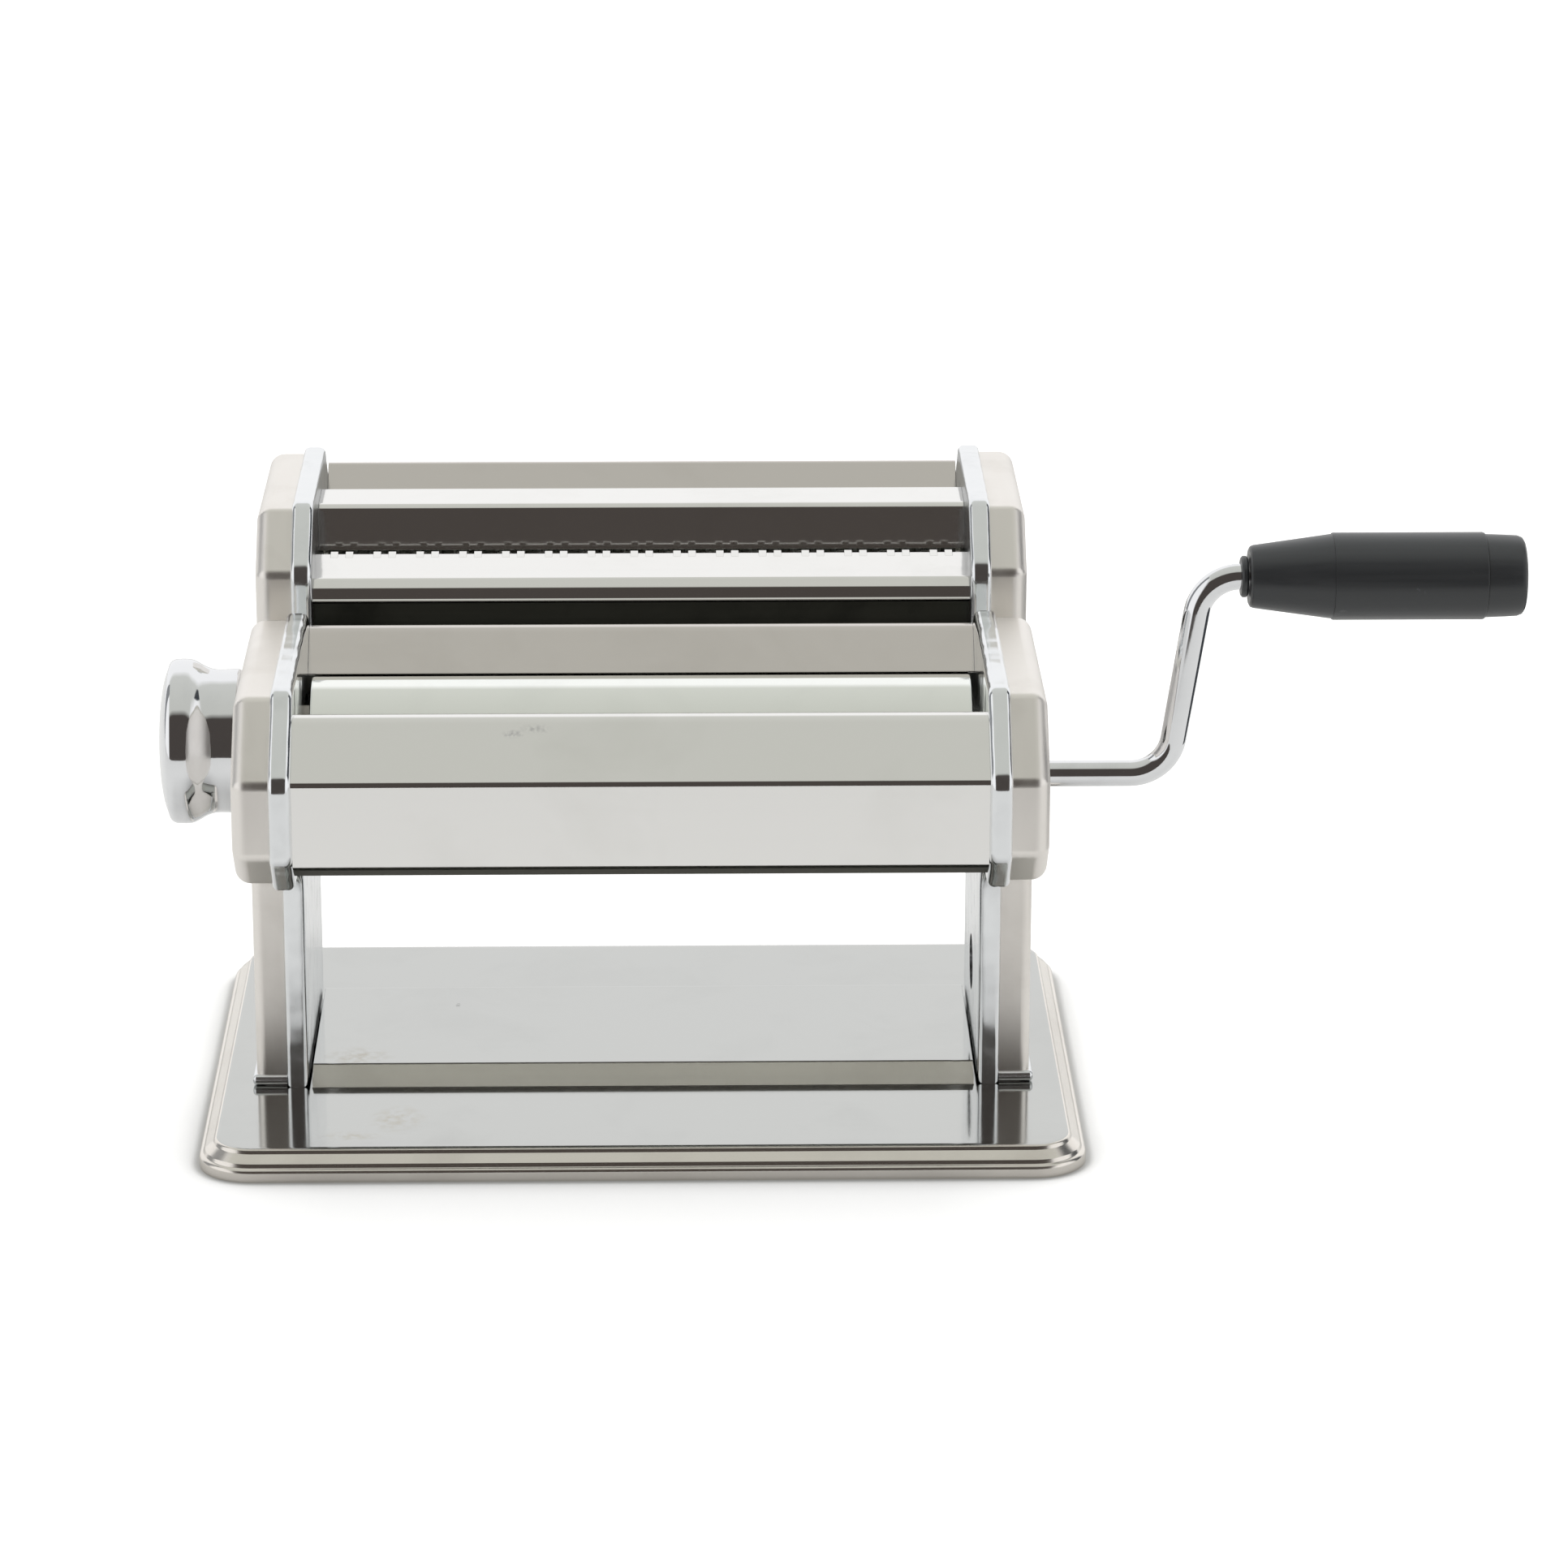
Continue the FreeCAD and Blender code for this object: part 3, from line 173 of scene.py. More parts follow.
# stainless sheet, bright annealed and drawn along X: near mirror with a soft streak
stainlessSheet = metalFinish("stainlessSheetBright", {
    "tone": "#f1f0ee", "markTone": "#e9e8e5", "rough": 0.06, "roughGrain": 0.11, "markRough": 0.04,
    "grainMm": (60, 0.5, 0.5), "blotchMm": 40, "waveMm": 90, "waveBump": 0.05, "grainBump": 0.012,
    "smudges": [((-27.8, 14.7, 99.1), (3.0, 1.2, 1.2), "#c4c2c6"),
                ((-22.8, 15.6, 100.0), (4.0, 1.4, 1.4), "#cfcecf")]})
# the two dough guides: the same sheet with a warmer, slightly duller face
stainlessGuide = metalFinish("stainlessSheetGuide", {
    "tone": "#dcd7d3", "markTone": "#d2cdc8", "rough": 0.09, "roughGrain": 0.15, "markRough": 0.05,
    "grainMm": (60, 0.5, 0.5), "blotchMm": 50, "waveMm": 90, "waveBump": 0.05, "grainBump": 0.012})
# painted shade: the wall under the lip gets a dark, dull sheet finish that stands for the shade in the gap
# below the lip
stainlessPaintedShade = metalFinish("stainlessSheetPaintedShade", {
    "tone": "#3c3d39", "markTone": "#2e2f2c", "rough": 0.34, "roughGrain": 0.46, "markRough": 0.08,
    "grainMm": (60, 0.6, 0.6), "blotchMm": 30, "waveMm": 60, "waveBump": 0.03, "grainBump": 0.02})
# the base's drawn rim and the tray's front slope: softer than the flat, with lines along the draw; their
# paler tone is painted light that lifts their reflections
stainlessRimPaintedLight = metalFinish("stainlessBaseRimPaintedLight", {
    "tone": "#eee9e2", "markTone": "#e2dcd5", "rough": 0.17, "roughGrain": 0.24, "markRough": 0.05,
    "grainMm": (70, 0.6, 0.6), "blotchMm": 34, "waveMm": 120, "waveBump": 0.03, "grainBump": 0.02})
# stainless base pressing and tray: a clear mirror on the flat
stainlessBase = metalFinish("stainlessBasePressed", {
    "tone": "#c6c7c5", "markTone": "#c1c2c0", "rough": 0.06, "roughGrain": 0.11, "markRough": 0.04,
    "grainMm": (70, 0.6, 0.6), "blotchMm": 34, "waveMm": 120, "waveBump": 0.03, "grainBump": 0.012,
    "smudges": [((-54.9, 21.2, 6.5), (7, 9, 4), "#b9b4a8"), ((-65.4, 11.2, 6.5), (8, 3, 4), "#b9b5aa"),
                ((-65.2, 49.9, 10.2), (9, 8, 4), "#b4b0a6"),
                ((-43.5, 84.0, 10.2), (0.7, 1.6, 2), "#3c3c3a")]})
# nickel-chrome plating on castings: tumbled, so soft, and slightly wavy from the casting under it
chromeCasting = metalFinish("chromePlatedCasting", {
    "tone": "#eef0f2", "markTone": "#e2e4e6", "rough": 0.10, "roughGrain": 0.15, "markRough": 0.06,
    "grainMm": (3, 3, 3), "blotchMm": 12, "waveMm": 9, "waveBump": 0.36, "grainBump": 0.01,
    "dullTop": 30, "dullFade": 18, "dullRough": 0.10})
# the castings' inner faces, plated but not polished: grey and blurred
chromeInner = metalFinish("chromePlatedUnpolished", {
    "tone": "#a3a5a6", "markTone": "#8e9091", "rough": 0.26, "roughGrain": 0.36, "markRough": 0.06,
    "grainMm": (3, 3, 3), "blotchMm": 12, "waveMm": 9, "waveBump": 0.10, "grainBump": 0.02})
# nickel-chrome plating on turned and bent bar: mirror
chromeTurned = metalFinish("chromePlatedBar", {
    "tone": "#ecedef", "markTone": "#e2e3e5", "rough": 0.05, "roughGrain": 0.08, "markRough": 0.04,
    "grainMm": (0.5, 20, 20), "blotchMm": 18, "waveMm": 30, "waveBump": 0.02, "grainBump": 0.006})
# satin stainless covers: tumbled after pressing, so reflections blur
satinCover = metalFinish("stainlessCoverSatin", {
    "tone": "#f3efea", "markTone": "#e8e3dd", "rough": 0.32, "roughGrain": 0.40, "markRough": 0.05,
    "grainMm": (6, 30, 30), "blotchMm": 26, "waveMm": 24, "waveBump": 0.06, "grainBump": 0.001})
# ground and chromed roller steel: lines run round the roller
groundRoller = metalFinish("rollerSteelGround", {
    "tone": "#f8faf6", "markTone": "#f0f2ee", "rough": 0.06, "roughGrain": 0.11, "markRough": 0.04,
    "grainMm": (0.5, 30, 30), "blotchMm": 30, "waveMm": 80, "waveBump": 0.02, "grainBump": 0.012})
# cutter rollers: turned and dull, between the painted glints on the discs' corners
cutterSteel = metalFinish("cutterSteelTurned", {
    "tone": "#b4b5ae", "markTone": "#8f908a", "rough": 0.24, "roughGrain": 0.38, "markRough": 0.08,
    "grainMm": (0.4, 12, 12), "blotchMm": 5, "waveMm": 20, "waveBump": 0.02, "grainBump": 0.02})
# painted glints: the discs' corners get a near-white, rough finish so they show pale from every side
cutterGlint = metalFinish("cutterSteelPaintedGlint", {
    "tone": "#f4f4f1", "markTone": "#e6e6e2", "rough": 0.55, "roughGrain": 0.65, "markRough": 0.05,
    "grainMm": (0.4, 6, 6), "blotchMm": 4, "waveMm": 20, "waveBump": 0.02, "grainBump": 0.02})
# zinc-plated fasteners, gears and rods: grey and a little dull
zincSteel = metalFinish("steelZincPlated", {
    "tone": "#a9aaa8", "markTone": "#8f8f8c", "rough": 0.28, "roughGrain": 0.40, "markRough": 0.10,
    "grainMm": (2, 2, 2), "blotchMm": 8, "waveMm": 20, "waveBump": 0.02, "grainBump": 0.05})
# natural nylon bushes and bearings
nylonNatural = plasticFinish("nylonMoulded", {
    "tone": "#e4e0d4", "flowTone": "#dad5c7", "scuffTone": "#cfcabd", "rough": 0.42, "roughWorn": 0.5,
    "grainMm": 0.6, "flowMm": (20, 3, 3), "scuffMm": 9, "bump": 0.05, "ior": 1.53})
# glass-filled nylon scrapers and combs: dark grey, matt
nylonGrey = plasticFinish("nylonGlassFilled", {
    "tone": "#504f47", "flowTone": "#59584f", "scuffTone": "#6b6a62", "rough": 0.46, "roughWorn": 0.56,
    "grainMm": 0.6, "flowMm": (20, 3, 3), "scuffMm": 9, "bump": 0.06, "ior": 1.53})
# black ABS grip and ferrule: satin moulded skin with flow lines and a few pale scuffs
blackAbs = plasticFinish("absMouldedBlack", {
    "tone": "#303234", "flowTone": "#383a3c", "scuffTone": "#585b5e", "rough": 0.28, "roughWorn": 0.40,
    "grainMm": 0.5, "flowMm": (40, 1.2, 1.2), "scuffMm": 6, "bump": 0.05, "ior": 1.54})
print("materials ready")


# Shapes

def roundCorners(corners, steps):  # (a, b, radius) corners to points, with an arc at each rounded one
    points = []
    for i, (a, b, radius) in enumerate(corners):
        here = Vector((a, b))
        if radius <= 0:
            points.append(here)
            continue
        back = (Vector(corners[i - 1][:2]) - here).normalized()
        ahead = (Vector(corners[(i + 1) % len(corners)][:2]) - here).normalized()
        half = back.angle(ahead) / 2
        centre = here + (back + ahead).normalized() * (radius / math.sin(half))
        arm = here + back * (radius / math.tan(half)) - centre
        last = here + ahead * (radius / math.tan(half)) - centre
        sweep = math.atan2(arm.x * last.y - arm.y * last.x, arm.dot(last))
        points += [centre + Matrix.Rotation(sweep * k / steps, 2) @ arm for k in range(steps + 1)]
    return points


def insetCorners(corners, distance, least=0.25):  # an outline moved inward, its radii following
    area = sum(corners[i - 1][0] * b - a * corners[i - 1][1] for i, (a, b, radius) in enumerate(corners))
    side = 1 if area > 0 else -1
    moved = []
    for i, (a, b, radius) in enumerate(corners):
        into = (Vector((a, b)) - Vector(corners[i - 1][:2])).normalized()
        out = (Vector(corners[(i + 1) % len(corners)][:2]) - Vector((a, b))).normalized()
        turn = (into.x * out.y - into.y * out.x) * side
        across = Vector((-into.y, into.x)) + Vector((-out.y, out.x))
        shift = across * (side * distance / (1 + into.dot(out)))
        kept = max(radius - distance, least) if turn > 0 else radius + distance
        moved.append((a + shift.x, b + shift.y, kept if radius > 0 else 0))
    return moved


def circle(y, z, radius, count=48):
    return [Vector((y + radius * math.cos(2 * math.pi * k / count),
                    z + radius * math.sin(2 * math.pi * k / count))) for k in range(count)]


def plateMesh(outline, x0, x1):  # a flat plate between two X planes
    bm = bmesh.new()
    ends = [[bm.verts.new(at(x, y, z)) for y, z in outline] for x in (x0, x1)]
    for i in range(len(outline)):
        bm.faces.new((ends[0][i - 1], ends[0][i], ends[1][i], ends[1][i - 1]))
    for end in ends:
        edges = [bm.edges.get((end[i - 1], end[i])) for i in range(len(end))]
        bmesh.ops.triangle_fill(bm, edges=edges, use_beauty=True)
    return bm


def loftMesh(rings, closeStart=True, closeEnd=True):  # closed rings of equal length, joined in order
    bm = bmesh.new()
    rows = [[bm.verts.new(p) for p in ring] for ring in rings]
    for lower, upper in zip(rows, rows[1:]):
        for i in range(len(lower)):
            bm.faces.new((lower[i - 1], lower[i], upper[i], upper[i - 1]))
    if closeStart:
        bm.faces.new(rows[0])
    if closeEnd:
        bm.faces.new(list(reversed(rows[-1])))
    return bm


def latheMesh(profile, y, z, count):  # (x, radius) points turned about an X axis
    bm = bmesh.new()
    rows = []
    for x, radius in profile:
        if radius <= 0:
            rows.append([bm.verts.new(at(x, y, z))])
        else:
            rows.append([bm.verts.new(at(x, p.x, p.y)) for p in circle(y, z, radius, count)])
    for lower, upper in zip(rows, rows[1:]):
        if len(lower) == len(upper) == 1:
            continue
        for i in range(count):
            start = lower if len(lower) == 1 else [lower[i - 1], lower[i]]
            end = upper if len(upper) == 1 else [upper[i], upper[i - 1]]
            bm.faces.new(start + end)
    return bm


def castPlate(corners, holes, x0, x1, innerEdge, outerEdge, steps=6):
    # a cast plate with rounded rims and plain holes
    bm = bmesh.new()
    way = 1 if x1 > x0 else -1
    turns = [math.pi / 2 * k / steps for k in range(steps + 1)]
    rows = [(innerEdge * (1 - math.sin(t)), x0 + way * innerEdge * (1 - math.cos(t))) for t in turns]
    rows += [(outerEdge * (1 - math.cos(t)), x1 - way * outerEdge * (1 - math.sin(t))) for t in turns]
    rings = []
    for margin, x in rows:
        outline = roundCorners(insetCorners(corners, margin), 10)
        rings.append([bm.verts.new(at(x, p.x, p.y)) for p in outline])
    for lower, upper in zip(rings, rings[1:]):
        for i in range(len(lower)):
            bm.faces.new((lower[i - 1], lower[i], upper[i], upper[i - 1]))
    caps = []
    for ring in (rings[0], rings[-1]):
        caps.append([bm.edges.get((ring[i - 1], ring[i])) for i in range(len(ring))])
    for hole in holes:
        ends = [[bm.verts.new(at(x, p.x, p.y)) for p in hole] for x in (x0, x1)]
        for i in range(len(hole)):
            bm.faces.new((ends[0][i - 1], ends[0][i], ends[1][i], ends[1][i - 1]))
        for cap, end in zip(caps, ends):
            cap += [bm.edges.get((end[i - 1], end[i])) for i in range(len(end))]
    for cap in caps:
        bmesh.ops.triangle_fill(bm, edges=cap, use_beauty=True)
    return bm


def smoothLine(points, steps):  # a smooth curve through the points
    line = []
    for i in range(len(points) - 1):
        before = Vector(points[max(i - 1, 0)])
        start, end = Vector(points[i]), Vector(points[i + 1])
        after = Vector(points[min(i + 2, len(points) - 1)])
        for k in range(steps):
            t = k / steps
            line.append(0.5 * (2 * start + (end - before) * t
                               + (2 * before - 5 * start + 4 * end - after) * t * t
                               + (3 * start - before - 3 * end + after) * t ** 3))
    return line + [Vector(points[-1])]


def sheetOutline(path, thickness, bends):  # a folded sheet's section, thickness to the right of its path
    def foldRadius(i, outside):
        if i in (0, len(path) - 1):
            return 0
        bend = bends[i - 1]
        into = Vector(path[i]) - Vector(path[i - 1])
        out = Vector(path[i + 1]) - Vector(path[i])
        turnsRight = into.x * out.y - into.y * out.x < 0
        return bend if turnsRight == outside else max(bend - thickness, 0)
    inner = []
    for i, point in enumerate(path):
        here = Vector(point)
        into = (here - Vector(path[i - 1])).normalized() if i > 0 else (Vector(path[1]) - here).normalized()
        out = (Vector(path[i + 1]) - here).normalized() if i < len(path) - 1 else into
        shift = (Vector((into.y, -into.x)) + Vector((out.y, -out.x))) * (thickness / (1 + into.dot(out)))
        inner.append(here + shift)
    corners = [(*path[i], foldRadius(i, True)) for i in range(len(path))]
    corners += [(*inner[i], foldRadius(i, False)) for i in reversed(range(len(path)))]
    return roundCorners(corners, 9)


def toObject(bm, name):
    bmesh.ops.remove_doubles(bm, verts=bm.verts, dist=1e-8)
    bmesh.ops.recalc_face_normals(bm, faces=bm.faces)
    mesh = bpy.data.meshes.new(name)
    bm.to_mesh(mesh)
    bm.free()
    piece = bpy.data.objects.new(name, mesh)
    scene.collection.objects.link(piece)
    return piece


def combine(target, other, operation):  # joins or cuts two closed forms, and keeps the first object
    change = target.modifiers.new("shape", "BOOLEAN")
    change.operation = operation
    change.solver = "EXACT"
    change.object = other
    bpy.context.view_layer.update()
    made = bpy.data.meshes.new_from_object(target.evaluated_get(bpy.context.evaluated_depsgraph_get()))
    target.modifiers.clear()
    target.data = made
    bpy.data.objects.remove(other)


def dress(piece, material, body, replaced, bevel=0.0, smooth=38):  # bevel in mm, smooth in degrees
    mesh = piece.data
    mesh.materials.clear()
    mesh.materials.append(material)
    mesh.shade_smooth()
    mesh.set_sharp_from_angle(angle=math.radians(smooth))
    if bevel > 0:
        edge = piece.modifiers.new("softEdge", "BEVEL")
        edge.width = bevel * mm
        edge.segments = 3
        edge.limit_method = "ANGLE"
        edge.angle_limit = math.radians(smooth)
        edge.use_clamp_overlap = True
    even = piece.modifiers.new("evenShading", "WEIGHTED_NORMAL")
    even.keep_sharp = bevel <= 0
    if replaced:
        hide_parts(*replaced)
    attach(piece, body)
    return piece


def tint(piece, material, chosen):  # a second finish on the faces chosen
    piece.data.materials.append(material)
    for face in piece.data.polygons:
        if chosen(face):
            face.material_index = 1


# Base pressing and the tray between the legs

basePressing = {"width": 197.7, "depth": 138.7, "corner": 12.0, "rimTop": 6.42,
                # (margin, height) rows: a bead, a slanted face and a step up to the flat, then back below
                "outer": [(0.0, 0.0), (0.0, 1.9), (0.08, 2.3), (0.3, 2.66), (0.62, 2.86), (0.88, 2.98),
                          (1.0, 3.1), (1.3, 3.74), (1.42, 3.9), (3.2, 5.42), (3.3, 5.55), (3.52, 6.05),
                          (3.7, 6.27), (4.0, 6.42), (4.5, 6.49), (5.0, 6.5), (6.0, 6.5)],
                "inner": [(7.0, 5.5), (4.8, 5.5), (4.1, 4.9), (4.0, 2.3), (1.2, 2.2), (1.0, 1.6), (1.0, 0.0)]}


def baseRing(margin, z):
    half = basePressing["width"] / 2 - margin
    rear = basePressing["depth"] - margin
    radius = max(basePressing["corner"] - margin, 1.0)
    corners = [(-half, margin, radius), (half, margin, radius), (half, rear, radius), (-half, rear, radius)]
    return [at(p.x, p.y, z) for p in roundCorners(corners, 10)]


topSide = loftMesh([baseRing(*row) for row in basePressing["outer"]], closeStart=False)
underSide = loftMesh([baseRing(*row) for row in basePressing["inner"]], closeEnd=False)
shell = bmesh.new()
for skin in (topSide, underSide):
    held = bpy.data.meshes.new("held")
    skin.to_mesh(held)
    skin.free()
    shell.from_mesh(held)
    bpy.data.meshes.remove(held)
bmesh.ops.bridge_loops(shell, edges=[e for e in shell.edges if e.is_boundary])
base = dress(toObject(shell, "basePressing"), stainlessBase, "frame", ["base_plate"])
# painted light: the rim below rimTop gets the paler finish
tint(base, stainlessRimPaintedLight, lambda face: face.center.z < basePressing["rimTop"] * mm)

tray = {"front": 40.7, "rear": 102.0, "slope": 5.7, "foot": 6.55, "top": 10.2, "halfWidth": 75.3,
        "sheet": 0.8, "bend": 1.4}
trayPath = [(tray["front"], tray["foot"]), (tray["front"] + tray["slope"], tray["top"]),
            (tray["rear"] - tray["slope"], tray["top"]), (tray["rear"], tray["foot"])]
outline = sheetOutline(trayPath, tray["sheet"], [tray["bend"]] * 2)
trayPiece = dress(toObject(plateMesh(outline, -tray["halfWidth"], tray["halfWidth"]), "legTray"),
                  stainlessBase, "frame", ["base_tray"], bevel=0.15)
# painted light: the front slope gets the rim's paler finish
tint(trayPiece, stainlessRimPaintedLight, lambda face: face.normal.y < -0.3 and face.normal.z > 0.3)
print("base done")


# Side frames and their covers

sides = ((-1, "left"), (1, "right"))
axes = {"roller": (35.2, 82.8), "axle": (63.63, 82.15), "gapRoller": (64.75, 82.8), "clamp": (71.5, 25.1)}
sideFrame = {"inner": 76.0, "outer": 81.0, "innerEdge": 1.7, "outerEdge": 1.3,
             "rollerHole": 7.6, "axleHole": {"left": 10.6, "right": 6.2}, "clampHole": 6.5,
             "corners": [(4.0, 72.8, 4), (4.0, 91.1, 6), (20.4, 107.5, 4), (80.7, 107.5, 4),
                         (93.4, 94.8, 0.6), (93.4, 88.18, 0.6), (102.0, 79.58, 4), (102.0, 6.5, 0),
                         (41.0, 6.5, 0), (41.0, 63.3, 10), (13.5, 63.3, 4)]}
for side, word in sides:
    holes = [circle(*axes["roller"], sideFrame["rollerHole"]),
             circle(*axes["axle"], sideFrame["axleHole"][word])]
    if word == "right":
        holes.append(circle(*axes["clamp"], sideFrame["clampHole"]))
    plate = castPlate(sideFrame["corners"], holes, side * sideFrame["inner"], side * sideFrame["outer"],
                      sideFrame["innerEdge"], sideFrame["outerEdge"])
    dress(toObject(plate, word + "SideFrame"), chromeCasting, "frame", [word + "_frame"])

cover = {"start": 81.0, "inset": 1.6, "depth": 8.3, "wall": 1.2, "round": 3.6,
         "legDepth": 7.0, "legRound": 2.4, "foot": 6.5,
         "beadTop": 9.1, "beadRise": 0.8, "beadRound": 1.25, "beadEdge": 0.9,
         "hole": {"left": ("axle", 6.3), "right": ("roller", 7.9)}, "drill": (79, 92),
         "lobe": [(4.0, 72.8, 5), (4.0, 91.1, 5), (20.4, 107.5, 5), (80.7, 107.5, 4), (93.4, 94.8, 4),
                  (93.4, 88.18, 4), (102.0, 79.58, 4), (102.0, 63.3, 4), (13.5, 63.3, 4)],
         "leg": [(41.0, 4.9, 0), (41.0, 63.3, 10), (27.0, 63.3, 0), (27.0, 71.3, 0), (102.0, 71.3, 0),
                 (102.0, 4.9, 0)]}


def dishMesh(corners, x0, depth, rounding, side, steps=8):  # a pressed bowl: straight wall, then a rolled rim
    rows = [(0.0, 0.0), (0.0, depth - rounding)]
    for k in range(1, steps + 1):
        turn = math.pi / 2 * k / steps
        rows.append((rounding * (1 - math.cos(turn)), depth - rounding + rounding * math.sin(turn)))
    rings = []
    for margin, rise in rows:
        points = roundCorners(insetCorners(corners, margin), 6)
        rings.append([at(side * (x0 + rise), p.x, p.y) for p in points])
    return loftMesh(rings)


def hollowOut(piece, outline, side):  # leaves the sheet's wall, open towards the frame
    inside = dishMesh(insetCorners(outline, cover["wall"]), cover["start"] - 1,
                      cover["depth"] - cover["wall"] + 1, cover["round"] - cover["wall"], side)
    combine(piece, toObject(inside, "hollow"), "DIFFERENCE")


def drill(piece, side, y, z, radius):  # a round hole through a cover's face
    near, far = [side * x for x in cover["drill"]]
    pin = latheMesh([(near, 0), (near, radius), (far, radius), (far, 0)], y, z, 48)
    combine(piece, toObject(pin, "hole"), "DIFFERENCE")


for side, word in sides:
    lobe = insetCorners(cover["lobe"], cover["inset"])
    leg = insetCorners(cover["leg"], cover["inset"])
    front = cover["leg"][0][0] + cover["inset"] - cover["beadRise"]
    rear = cover["leg"][-1][0] - cover["inset"] + cover["beadRise"]
    bead = [(y, z, cover["beadRound"]) for y, z in [(front, cover["foot"]), (front, cover["beadTop"]),
                                                    (rear, cover["beadTop"]), (rear, cover["foot"])]]
    lobeDish = dishMesh(lobe, cover["start"], cover["depth"], cover["round"], side)
    legDish = dishMesh(leg, cover["start"], cover["legDepth"], cover["legRound"], side)
    footBead = dishMesh(bead, cover["start"], cover["legDepth"] + cover["beadRise"], cover["beadEdge"], side)
    piece = toObject(lobeDish, word + "SideCover")
    combine(piece, toObject(legDish, "legDish"), "UNION")
    combine(piece, toObject(footBead, "footBead"), "UNION")
    hollowOut(piece, lobe, side)
    axis, radius = cover["hole"][word]
    drill(piece, side, *axes[axis], radius)
    dress(piece, satinCover, "frame", [word + "_cover"], smooth=30)
    # the bead at the foot is polished
    tint(piece, chromeCasting, lambda face: face.center.z < cover["beadTop"] * mm)
print("side frames done")


# Folded sheets of the roller unit and of the cutter unit

sheetHalf = 76.0  # half the width between the frames
sheets = {
    "frontPlate": {"finish": stainlessSheet, "body": "frame", "node": "front_plate", "thickness": 0.8,
                   "path": [(12.0, 71.3), (6.0, 71.3), (6.0, 90.4), (19.4, 103.8), (22.4, 100.8)],
                   "bends": [0.45, 1.8, 4.0]},
    "guidePlate": {"finish": stainlessGuide, "body": "frame", "node": "guide_plate", "thickness": 0.8,
                   "path": [(73.0, 95.0), (83.0, 105.0), (91.4, 96.6), (91.4, 72.0), (85.4, 72.0)],
                   "bends": [3.6, 2.4, 0.9]},
    "cutterTable": {"finish": stainlessSheet, "body": "cutter_unit", "node": "cutter_front_plate",
                    "thickness": 0.7, "paintedShadeTop": 105.55,
                    "path": [(97.1, 94.8), (97.1, 104.6), (95.2, 105.6), (95.9, 106.2), (96.7, 108.3),
                             (98.6, 110.2), (104.8, 110.74), (109.0, 111.28), (113.0, 112.0), (113.0, 110.4)],
                    "bends": [0.7, 0.2, 0.2, 1.6, 1.6, 60, 60, 0.2]},
    "cutterRidge": {"finish": stainlessSheet, "body": "cutter_unit", "node": "cutter_ridge", "thickness": 0.8,
                    "path": [(123.0, 110.0), (124.8, 120.6), (140.3, 120.6), (142.1, 110.0)],
                    "bends": [2.1, 2.1]},
    "cutterRearGuide": {"finish": stainlessGuide, "body": "cutter_unit", "node": "cutter_rear_plate",
                        "thickness": 0.8,
                        "path": [(157.6, 110.1), (167.6, 120.1), (169.4, 118.3), (169.4, 84.0)],
                        "bends": [1.6, 0.6]}}
for name, sheet in sheets.items():
    outline = sheetOutline(sheet["path"], sheet["thickness"], sheet["bends"])
    piece = dress(toObject(plateMesh(outline, -sheetHalf, sheetHalf), name), sheet["finish"], sheet["body"],
                  [sheet["node"]], bevel=0.12)
    if "paintedShadeTop" in sheet:  # painted shade on the wall under the lip
        tint(piece, stainlessPaintedShade,
             lambda face: abs(face.normal.x) < 0.5 and face.center.z < sheet["paintedShadeTop"] * mm)

# stripper teeth pressed up from the table's rear edge, two beside each disc of the wide cutter
teeth = {"pitch": 10.0, "apart": 1.75, "width": 1.8, "count": 15,
         "section": [(110.9, 111.4), (113.6, 111.4), (113.6, 112.35), (113.45, 112.42), (110.9, 111.64)]}
teethMesh = bmesh.new()
for k in range(teeth["count"]):
    middle = (k - (teeth["count"] - 1) / 2) * teeth["pitch"]
    for offset in (-teeth["apart"], teeth["apart"]):
        low, high = middle + offset - teeth["width"] / 2, middle + offset + teeth["width"] / 2
        ends = [[teethMesh.verts.new(at(x, y, z)) for y, z in teeth["section"]] for x in (low, high)]
        for i in range(len(teeth["section"])):
            teethMesh.faces.new((ends[0][i - 1], ends[0][i], ends[1][i], ends[1][i - 1]))
        teethMesh.faces.new(ends[0])
        teethMesh.faces.new(list(reversed(ends[1])))
dress(toObject(teethMesh, "tableTeeth"), stainlessSheet, "cutter_unit", [], bevel=0.08)
print("sheets done")


# Smooth rollers

smoothRoller = {"line": [(-74.7, 0), (-74.7, 13.0), (-74.55, 13.35), (-74.2, 13.5),
                         (74.2, 13.5), (74.55, 13.35), (74.7, 13.0), (74.7, 0)]}
for name, axis, body, node in [("frontRoller", "roller", "drive_roller", "front_roller"),
                               ("gapRoller", "gapRoller", "gap_roller", "rear_roller")]:
    dress(toObject(latheMesh(smoothRoller["line"], *axes[axis], 96), name), groundRoller, body,
          [node])
print("rollers done")


# Setting knob

knob = {"place": axes["axle"], "seat": -106.5, "capRadius": 17.1,
        "bell": [(-90.5, 0), (-90.5, 15.6), (-90.9, 16.2), (-91.6, 16.35), (-93.5, 16.3), (-95.6, 16.25),
                 (-97.2, 16.45), (-98.8, 17.05), (-100.3, 17.9), (-101.6, 18.5), (-102.8, 18.7),
                 (-104.2, 18.7), (-105.4, 18.62), (-106.2, 18.3), (-106.7, 17.8), (-106.9, 17.2)],
        "cap": [(-106.6, 17.2), (-107.0, 16.9), (-107.9, 14.2), (-108.6, 10.0), (-109.0, 5.0), (-109.1, 0)]}
bell = knob["bell"][:1] + [(p.x, p.y) for p in smoothLine(knob["bell"][1:], 5)] + [(knob["seat"], 0)]
dome = [(knob["seat"], 0), (knob["seat"], knob["capRadius"])]
dome += [(p.x, max(p.y, 0)) for p in smoothLine(knob["cap"], 5)]
